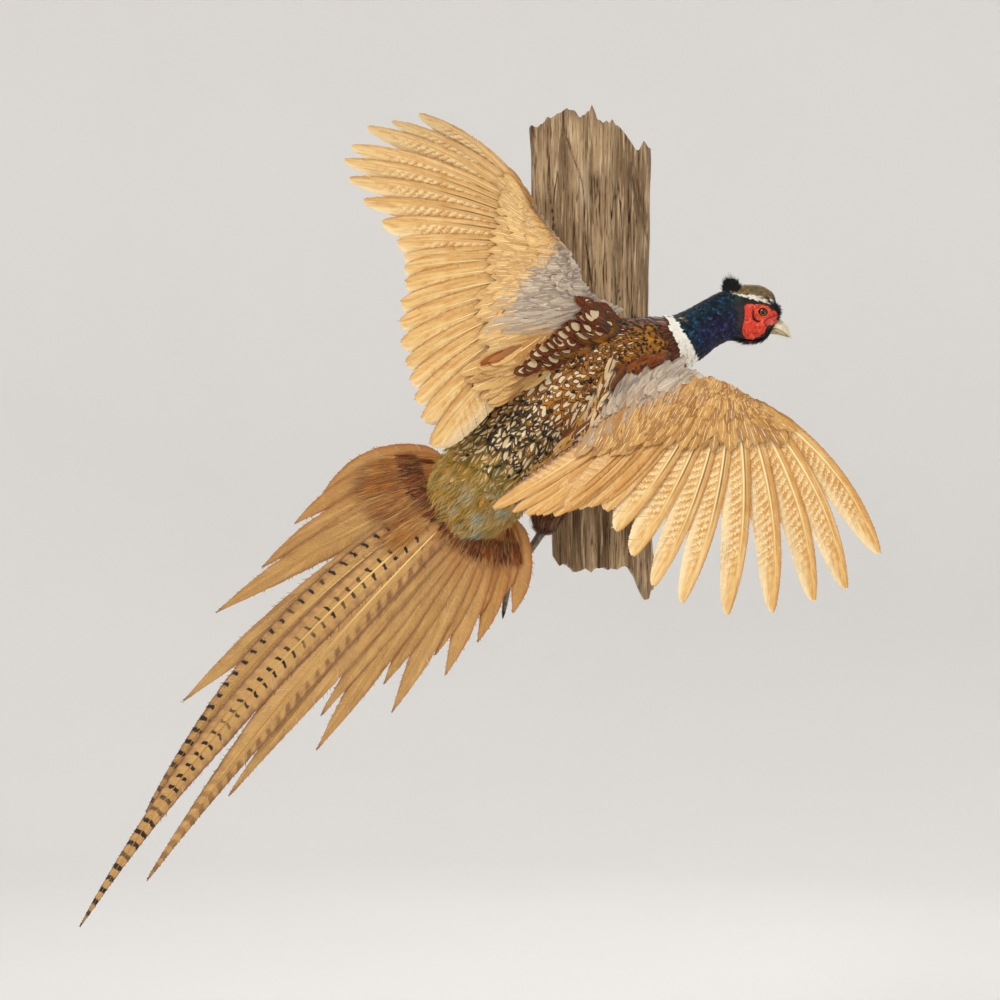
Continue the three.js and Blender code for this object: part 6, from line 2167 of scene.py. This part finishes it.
def wattle(side):
    columns, rows = 240, 60
    turn = np.linspace(-math.pi, math.pi, columns, endpoint=False)
    open_x, open_z = lid_point(turn)
    heading = np.arctan2(open_z - EYE_AT[1], open_x - EYE_AT[0])
    reach = wattle_reach(heading) + 0.0006
    end_x, end_z = EYE_AT[0] + np.cos(heading) * reach, EYE_AT[1] + np.sin(heading) * reach
    share = np.concatenate([np.linspace(0, 0.16, 16)[:-1], np.linspace(0.16, 1, rows - 15)])
    grid_x = open_x + (end_x - open_x) * share[:, None]
    grid_z = open_z + (end_z - open_z) * share[:, None]
    flat_x, flat_z = grid_x.ravel(), grid_z.ravel()
    ground, _ = from_side(np.stack([flat_x, flat_z], 1), side)
    ground = np.abs(ground[:, 1] - HEAD_MIDDLE).reshape(grid_x.shape)
    from_eye = np.hypot(grid_x - EYE_AT[0], grid_z - EYE_AT[1])
    # Over the socket the skin spans from the ball to the solid ground beyond it.
    ball = EYE_FROM_MIDDLE + np.sqrt(np.maximum((EYE_RADIUS + 0.0003) ** 2 - from_eye[0] ** 2, 1e-8))
    for column in range(columns):
        solid = np.argmax(from_eye[:, column] > SOCKET_EDGE)
        if solid > 1:
            ease = ramp(np.arange(solid) / solid, 0, 1)
            ground[:solid, column] = ball[column] * (1 - ease) + ground[solid, column] * ease
    to_edge = ((1 - share[:, None]) * (reach - np.hypot(open_x - EYE_AT[0], open_z - EYE_AT[1]))).ravel()
    from_lid = (share[:, None] * (reach - np.hypot(open_x - EYE_AT[0], open_z - EYE_AT[1]))).ravel()
    rolled = ramp(to_edge, 0.0, 0.0016)
    wart = warts(flat_x, flat_z, 0.00105, 51)
    bead = np.clip(1 - (wart / 0.62) ** 2, 0, 1)
    fold = line_nearness(flat_x, flat_z, [(172.5, 29), (168, 27.5), (164.2, 25.4), (162, 22)], 0.0007)
    crease = line_nearness(flat_x, flat_z, [(151.2, 34.5), (150.9, 29), (152.6, 25), (156.8, 23.4)], 0.0008)
    lower_lobe = np.exp(-((flat_x - 0.151) / 0.008) ** 2 - ((flat_z - 0.015) / 0.009) ** 2)
    front_lobe = np.exp(-((flat_x - 0.1695) / 0.005) ** 2 - ((flat_z - 0.0245) / 0.004) ** 2)
    behind_lobe = np.exp(-((flat_x - 0.1468) / 0.003) ** 2 - ((flat_z - 0.031) / 0.008) ** 2)
    lid_roll = np.exp(-((from_lid - 0.0009) / 0.0007) ** 2)
    lid_groove = np.exp(-((from_lid - 0.0024) / 0.0005) ** 2)
    wrinkle = np.sin(from_lid / 0.00042 + 3 * lumps(np.stack([flat_x, flat_z, 0 * flat_x], 1), 0.003, 5))
    near_lid = ramp(from_lid, 0.0042, 0.0020)
    height = (0.0008 + 0.0011 * lower_lobe + 0.0009 * front_lobe + 0.0005 * behind_lobe) * rolled
    height += 0.00034 * bead * rolled * ramp(from_lid, 0.0014, 0.0036)
    height += (0.00075 * lid_roll - 0.0003 * lid_groove) - 0.0010 * fold - 0.0008 * crease
    height += 0.00005 * wrinkle * near_lid * ramp(from_lid, 0.0003, 0.0008)
    height -= 0.0011 * (1 - rolled) + 0.0007 * ramp(0.0005 - from_lid, 0, 0.0005)
    points = np.stack([flat_x, HEAD_MIDDLE + side * (ground.ravel() + height), flat_z], 1)
    quads = round_faces(len(share), columns, inward=True)
    if side > 0:
        quads = quads[:, ::-1]
    specks = ramp(lumps(np.stack([flat_x, flat_z, 0 * flat_x], 1), 0.0014, 8), 0.22, 0.5)
    paleness = lumps(np.stack([flat_x, flat_z, 0 * flat_x], 1), 0.0024, 9)
    colour = layered(
        len(points), ((220, 46, 22), 1),
        ((238, 80, 40), ramp(bead, 0.4, 1) * 0.55),
        ((206, 84, 88), front_lobe * 0.8),
        ((236, 120, 96), ramp(0.0018 - to_edge, 0, 0.0012) * 0.45),
        ((244, 118, 78), ramp(paleness, 0.15, 0.6) * 0.6),
        ((226, 96, 44), near_lid * 0.6),
        # Darker red in the hollows between the warts: painted shade.
        ((140, 18, 18), ramp(bead, 0.35, 0.0) * 0.55 * (1 - near_lid)),
        # Dark red along the fold in front of the eye: painted shadow; the small dark red specks are the
        # skin's own.
        ((116, 12, 12), specks * 0.8), ((112, 16, 18), fold * 0.8),
        ("ink", crease * 0.9), ((90, 30, 22), ramp(0.0005 - from_lid, 0, 0.0004) * 0.85))
    return make_mesh(f"wattle_{'left' if side > 0 else 'right'}", points, quads, numbers={"flesh": colour})


velvet = Finish("wattle_skin", Roughness=0.52, Specular_IOR_Level=0.45, Sheen_Weight=0.1)
velvet_grain = velvet.noise(velvet.place(), 2600, 2)
velvet.wear(velvet.mix(velvet.ramp(velvet_grain, 0.5, 0.25) * 0.3, velvet.painted("flesh"), (120, 20, 18)),
            velvet.ramp(velvet_grain, -0.5, 1.5), velvet_grain, 0.35, 0.0003)
for side in (-1, 1):
    bare = wattle(side)
    bare.data.materials.append(velvet.material)
    rest(bare, "head_skin")
bristles("eye_line", [(151.2, 34.5), (150.9, 29), (152.6, 25), (156.8, 23.4)],
         [(-0.2, -1), (0.1, -1), (0.6, -0.8), (1, -0.2)], [1.6, 1.8, 1.8, 1.4], 46, 95, out_lean=0.35,
         strands=3, scatter=0.0002, depth=-0.0008, thick=0.0002)

# ---- eyes --------------------------------------------------------------------------------------------------
# Glass eyes: a painted amber iris lies dished behind a clear dome, and the black pupil deeper still. The
# ball fills its socket and the lids lap over its edge.

IRIS_RADIUS = 0.0039
PUPIL_RADIUS = 0.0021
DOME_RADIUS = 0.0042
EYE_AIM = np.array([0.12, 1.0, 0.03])


def turned(name, profile, side, material, columns=72):
    """A surface of revolution about the eye's own axis; profile pairs are reach and depth from the centre."""
    reach, depth = np.array(profile).T
    turn = np.linspace(0, 2 * math.pi, columns, endpoint=False)
    aim = unit(EYE_AIM * [1, side, 1])
    right = unit(np.cross(aim, [0, 0, 1.0]))
    up = np.cross(right, aim)
    centre = np.array([EYE_AT[0], HEAD_MIDDLE + side * EYE_FROM_MIDDLE, EYE_AT[1]])
    points = (centre + aim * depth[:, None, None] + right * (reach[:, None] * np.cos(turn))[..., None]
              + up * (reach[:, None] * np.sin(turn))[..., None]).reshape(-1, 3)
    spokes = np.stack([np.tile(np.cos(turn), len(reach)), np.tile(np.sin(turn), len(reach))], 1)
    return make_mesh(name, points, round_faces(len(reach), columns, inward=True), maps={"spoke": spokes},
                     numbers={"reach": np.repeat(reach, columns) * 1000}, material=material)


iris = Finish("glass_eye_paint", Roughness=0.6, Specular_IOR_Level=0.15)
spoke_x, spoke_y = iris.map("spoke")
eye_reach = iris.held("reach")
fibres_round = iris.noise(iris.pack(spoke_x * 6, spoke_y * 6,
                                    eye_reach * 0.5), 3.2, 3, 0.6)
iris_colour = iris.mix(iris.ramp(eye_reach, 2.2, 3.4), (214, 128, 40), (176, 84, 22))
iris_colour = iris.over(
    iris_colour, (iris.ramp(fibres_round, 0.4, 0.62), (238, 160, 66)),
    (iris.ramp(fibres_round, 0.42, 0.28), (120, 52, 16)),
    (iris.ramp(eye_reach, 3.45, 3.8), (30, 14, 8)),
    (iris.ramp(eye_reach, 2.5, 2.3), (4, 4, 5)))
iris.wear(iris_colour)
cornea = Finish("glass_eye_dome", Roughness=0.03, Transmission_Weight=1.0, IOR=1.36)
for side in (-1, 1):
    name = "left" if side > 0 else "right"
    rim_depth = math.sqrt(EYE_RADIUS ** 2 - (IRIS_RADIUS + 0.0001) ** 2)
    rim_angle = math.asin((IRIS_RADIUS + 0.0001) / EYE_RADIUS)
    ball_profile = [(EYE_RADIUS * math.sin(a), EYE_RADIUS * math.cos(a))
                    for a in np.linspace(math.pi - 0.02, rim_angle, 22)]
    dish = [(reach, rim_depth - 0.0003 - 0.00055 * (1 - reach / IRIS_RADIUS))
            for reach in np.linspace(IRIS_RADIUS, PUPIL_RADIUS, 12)]
    pupil = [(PUPIL_RADIUS * 0.98, rim_depth - 0.0013), (PUPIL_RADIUS * 0.6, rim_depth - 0.0015),
             (0.00002, rim_depth - 0.0015)]
    eyeball = turned(f"eye_{name}_iris", ball_profile + dish + pupil, side, iris.material)
    rest(eyeball, "eye_glass", f"eye_{name}")
    bulge = [(0.00002, EYE_RADIUS + 0.00025)]
    bulge += [(reach, math.sqrt((EYE_RADIUS + 0.0001) ** 2 - reach ** 2)
               + 0.00015 * (1 - (reach / DOME_RADIUS) ** 2))
              for reach in np.linspace(0.0002, DOME_RADIUS, 22)]
    inner = [(reach, depth - 0.0007) for reach, depth in bulge[::-1]]
    dome = turned(f"eye_{name}_dome", bulge + inner, side, cornea.material)
    rest(dome, "eye_glass", f"eye_{name}")

# ---- bill --------------------------------------------------------------------------------------------------
# Horn in two halves. The upper one is arched and hooks down over the tip of the lower, its cutting edges
# overlap the lower's, and a slit nostril opens low at its base under a swollen flap.


def horn(name, stations, hollow, material, node):
    """One half of the bill: stations give X, ridge Z, cutting edge Z and half width, in millimetres."""
    stations = np.array(stations, float)
    rows, columns = 60, 40
    place = np.linspace(0, len(stations) - 1, rows)
    middle_x, ridge, edge, half = (spline(stations[:, k], place) * 0.001 for k in range(4))
    turn = np.linspace(0, 2 * math.pi, columns, endpoint=False)
    over = np.maximum(np.sin(turn), 0)
    points = np.zeros((rows, columns, 3))
    side = np.cos(turn)
    rise = np.abs(np.sin(turn))
    arch = np.where(np.sin(turn) >= 0, rise ** 1.15, -hollow * rise ** 0.8)
    points[..., 0] = middle_x[:, None] - 0.0009 * (1 - over)[None] * np.sign(ridge - edge)[:, None]
    points[..., 1] = HEAD_MIDDLE + half[:, None] * (np.sign(side) * np.abs(side) ** 0.85)[None]
    points[..., 2] = edge[:, None] + (ridge - edge)[:, None] * arch[None]
    flat = points.reshape(-1, 3)
    grow = np.repeat(place / (len(stations) - 1), columns)
    numbers = {"grow": grow}
    if node == "bill_upper":
        flap = np.exp(-((flat[:, 0] - 0.1735) / 0.0034) ** 2 - ((flat[:, 2] - 0.0262) / 0.0016) ** 2)
        slit = np.exp(-((flat[:, 0] - 0.1745) / 0.0026) ** 2 - ((flat[:, 2] - 0.0238) / 0.0006) ** 2)
        flat[:, 1] += np.sign(flat[:, 1] - HEAD_MIDDLE) * (0.0007 * flap - 0.0012 * slit)
        numbers["slit"] = slit
    piece = make_mesh(name, flat, round_faces(rows, columns), numbers=numbers, material=material)
    rest(piece, "bill_horn", node)


ivory = Finish("bill_horn", Roughness=0.34, Specular_IOR_Level=0.5)
ivory_streak = ivory.noise(ivory.stretched(ivory.place(), (0.35, 1, 1), (0, 0.55, 0)), 900, 3, 0.6)
ivory_cloud = ivory.noise(ivory.place(), 170, 2)
ivory_grow, ivory_nostril_shade = ivory.held("grow"), ivory.held("slit")
ivory_colour = ivory.mix(ivory.ramp(ivory_cloud, 0.4, 0.65), (206, 192, 158), (228, 218, 194))
# The nostril's slit is painted near black: painted shade inside the opening.
ivory_colour = ivory.over(
    ivory_colour, (ivory.ramp(ivory_grow, 0.4, 0.0), (188, 160, 120)),
    (ivory.ramp(ivory_streak, 0.5, 0.75) * 0.5, (240, 236, 214)),
    (ivory.ramp(ivory_streak, 0.45, 0.25) * 0.5, (158, 142, 104)),
    (ivory_nostril_shade, (40, 30, 22)))
ivory.wear(ivory_colour, ivory.ramp(ivory_streak, -0.2, 1.6), ivory_streak, 0.2, 0.0003)
olive_horn = Finish("bill_horn_lower", Roughness=0.38)
olive_streak = olive_horn.noise(olive_horn.stretched(olive_horn.place(), (0.3, 1, 1), (0, 0.3, 0)), 900, 3,
                                0.6)
olive_colour = olive_horn.mix(olive_horn.ramp(olive_streak, 0.35, 0.65), (134, 122, 88), (190, 178, 140))
olive_horn.wear(olive_colour, olive_horn.ramp(olive_streak, -0.2, 1.6), olive_streak, 0.2, 0.0003)
horn("bill_upper_half", [(163, 30.5, 17.5, 5.4), (170, 30.6, 18.2, 5.3), (176, 28.6, 17.4, 4.7),
                         (181.5, 24.6, 15.2, 3.7), (185.6, 19.4, 12.4, 2.5), (188.2, 13.6, 9.6, 1.3),
                         (189.6, 8.4, 7.4, 0.25)], -0.15, ivory.material, "bill_upper")
horn("bill_lower_half", [(163, 12.6, 18.0, 4.7), (170, 12.2, 17.6, 4.5), (176, 11.6, 16.4, 3.7),
                         (181, 10.6, 14.2, 2.6), (185, 9.4, 11.6, 1.5), (187, 9.2, 10.2, 0.5)],
     -0.1, olive_horn.material, "bill_lower")

# ---- legs and feet -----------------------------------------------------------------------------------------
# The thighs wear long dark chestnut strands that hide them to the ankle. The bare shank and toes are
# sheathed in scales: broad overlapping plates in front and net-like small ones behind; the claws are horn.

LEGS = {
    "right": {"hip": (-28, -92, -90), "ankle": (-50, -77, -178), "foot": (-84, -66, -230)},
    "left": {"hip": (-68, -92, -56), "ankle": (-90, -77, -144), "foot": (-124, -66, -196)},
}
TOES = [(-24, 34), (0, 42), (24, 33), (160, 15)]          # bearing in degrees and length in mm
TOE_SHARE, CLAW_SHARE = 0.00086, 0.00022                  # metres of toe and of claw for each of those mm


def thigh_lines(leg, count, seed):
    random = np.random.default_rng(seed)
    hip, ankle = np.array(leg["hip"]) * 0.001, np.array(leg["ankle"]) * 0.001
    ahead = unit(ankle - hip)
    side = unit(np.cross(ahead, [0.0, 1.0, 0.0]))
    back = np.cross(side, ahead)
    share = random.uniform(0.0, 1.0, count)
    turn = random.uniform(0, 2 * math.pi, count)
    girth = np.interp(share, [0, 0.35, 0.7, 1], [27, 26, 20, 9]) * 0.001 - 0.003
    aim = (hip + (ankle - hip) * share[:, None] + side * (np.cos(turn) * girth)[:, None]
           + back * (np.sin(turn) * girth)[:, None])
    roots, _ = on_skin(aim)
    near = np.linalg.norm(roots - aim, axis=1) < 0.006
    lines, outs = walk(roots[near], random.uniform(0.030, 0.052, near.sum()),
                       lambda points: np.broadcast_to(ahead, points.shape)
                       + random.normal(0, 0.05, points.shape))
    return lines, outs, share[near], turn[near]


def limb(name, corners, radii, seed, plates, material):
    """A scaly round limb along a line, with overlapping plates on its front."""
    corners = np.array(corners, float)
    length = np.linalg.norm(np.diff(corners, axis=0), axis=1).sum()
    rows, columns = int(length / 0.00048), 30
    place = np.linspace(0, len(corners) - 1, rows)
    middle_line = spline(corners, place)
    radius = spline(np.array(radii, float)[:, None], place)[:, 0]
    ahead = unit(np.gradient(middle_line, axis=0))
    side = unit(np.cross(ahead, ROOMWARD))
    front = np.cross(side, ahead)
    turn = np.linspace(0, 2 * math.pi, columns, endpoint=False)
    run = np.concatenate([[0], np.cumsum(np.linalg.norm(np.diff(middle_line, axis=0), axis=1))])
    phase = (run / plates) % 1
    plate = (phase ** 3 * 0.00035)[:, None] * ramp(np.cos(turn), -0.1, 0.4)[None]
    flat_run, flat_turn = np.repeat(run, columns), np.tile(turn * 0.0035, rows)
    net = np.clip(1 - (warts(flat_run, flat_turn, 0.0013, seed) / 0.6) ** 2, 0, 1).reshape(rows, columns)
    net = net * 0.00022 * ramp(np.cos(turn), 0.2, -0.3)[None]
    reach = radius[:, None] + plate + net
    points = (middle_line[:, None] + front[:, None] * (np.cos(turn)[None] * reach)[..., None]
              + side[:, None] * (np.sin(turn)[None] * reach)[..., None]).reshape(-1, 3)
    points = np.concatenate([points, middle_line[[0, -1]]])
    groove = np.concatenate([(np.minimum(phase, 1 - phase)[:, None] * np.ones(columns)[None]).ravel(),
                             [0.5, 0.5]])
    return make_mesh(name, points, round_faces(rows, columns), end_caps(rows, columns),
                     numbers={"groove": groove}, material=material)


scaly = Finish("leg_scales", Roughness=0.46)
scale_cloud = scaly.noise(scaly.place(), 260, 3)
scaly_colour = scaly.mix(scaly.ramp(scale_cloud, 0.35, 0.65), (92, 86, 74), (128, 120, 102))
scaly_colour = scaly.mix(scaly.ramp(scaly.held("groove"), 0.12, 0.0), scaly_colour, (52, 46, 38))
scaly.wear(scaly_colour, scaly.ramp(scale_cloud, -0.2, 1.5), scale_cloud, 0.3, 0.0003)
claw_horn = Finish("claw_horn", Roughness=0.3)
claw_tone = claw_horn.noise(claw_horn.place(), 400, 2)
claw_horn.wear(claw_horn.mix(claw_tone, (22, 18, 16), (60, 52, 44)), claw_horn.ramp(claw_tone, -0.3, 1.6))

for leg_side, leg in LEGS.items():
    lines, outs, share, turn = thigh_lines(leg, 760, 301 + len(leg_side))
    random = np.random.default_rng(302)
    ground = layered(len(lines), ("thigh", 1), ("soot", random.uniform(0, 0.5, len(lines))))
    tip = layered(len(lines), ("thigh", 1), ("chestnut", random.uniform(0, 0.7, len(lines))),
                  ("rust", random.uniform(-0.5, 0.4, len(lines))))
    thigh = lay_strands(f"coat_thigh_{leg_side}", lines, outs, 0.0042,
                        random.uniform(0.002, 0.007, len(lines)), hair_like,
                        np.stack([share, turn / 6.3], 1), 303, strands=6, thick=0.00044,
                        numbers={"ground": ground, "tip": tip}, curl=0.4, rows=4)
    rest(thigh, "body_feathers")
    ankle, foot = np.array(leg["ankle"]) * 0.001, np.array(leg["foot"]) * 0.001
    ahead = unit(foot - ankle)
    aside = unit(np.cross(ahead, ROOMWARD))
    shank = limb(f"shank_{leg_side}", [ankle - ahead * 0.006, ankle + (foot - ankle) * 0.5, foot,
                                       foot + ahead * 0.003], [0.0044, 0.0036, 0.0044, 0.0038], 304, 0.0042,
                 scaly.material)
    rest(shank, "leg_scales", f"foot_{leg_side}")
    for number, (toe_turn, toe_length) in enumerate(TOES):
        angle = math.radians(toe_turn)
        way = ahead * math.cos(angle) + aside * math.sin(angle)
        steps = np.array([0, 0.35, 0.7, 1.0])
        curl = np.array([0, 0.0004, 0.0024, 0.0066])
        spots = foot + way * (steps * toe_length * TOE_SHARE)[:, None] + ROOMWARD * curl[:, None]
        toe = limb(f"toe_{leg_side}_{number + 1}", spots, [0.0035, 0.0031, 0.0026, 0.0017], 305 + number,
                   0.0026, scaly.material)
        rest(toe, "leg_scales", f"foot_{leg_side}")
        tip_way = unit(spots[-1] - spots[-2])
        claw_steps = np.linspace(0, 1, 5)[:, None]
        claw_spots = (spots[-1] - tip_way * 0.001 + tip_way * claw_steps * toe_length * CLAW_SHARE
                      + ROOMWARD * claw_steps ** 2 * 0.003)
        claw = limb(f"claw_{leg_side}_{number + 1}", claw_spots, [0.0019, 0.0016, 0.0012, 0.0007, 0.0001],
                    309, 1.0, claw_horn.material)
        rest(claw, "leg_scales", f"foot_{leg_side}")
thinned(skin, 0.5)
skin_tone = Finish("skin", Roughness=0.8)
hold(skin, "coat_colour", skin_colours(points_of(skin)))
skin.data.materials.append(skin_tone.wear(skin_tone.painted("coat_colour")))
rest(skin, "body_feathers", "trunk", "neck", "head", "wing_left_arm", "wing_right_arm", "leg_left",
     "leg_right")
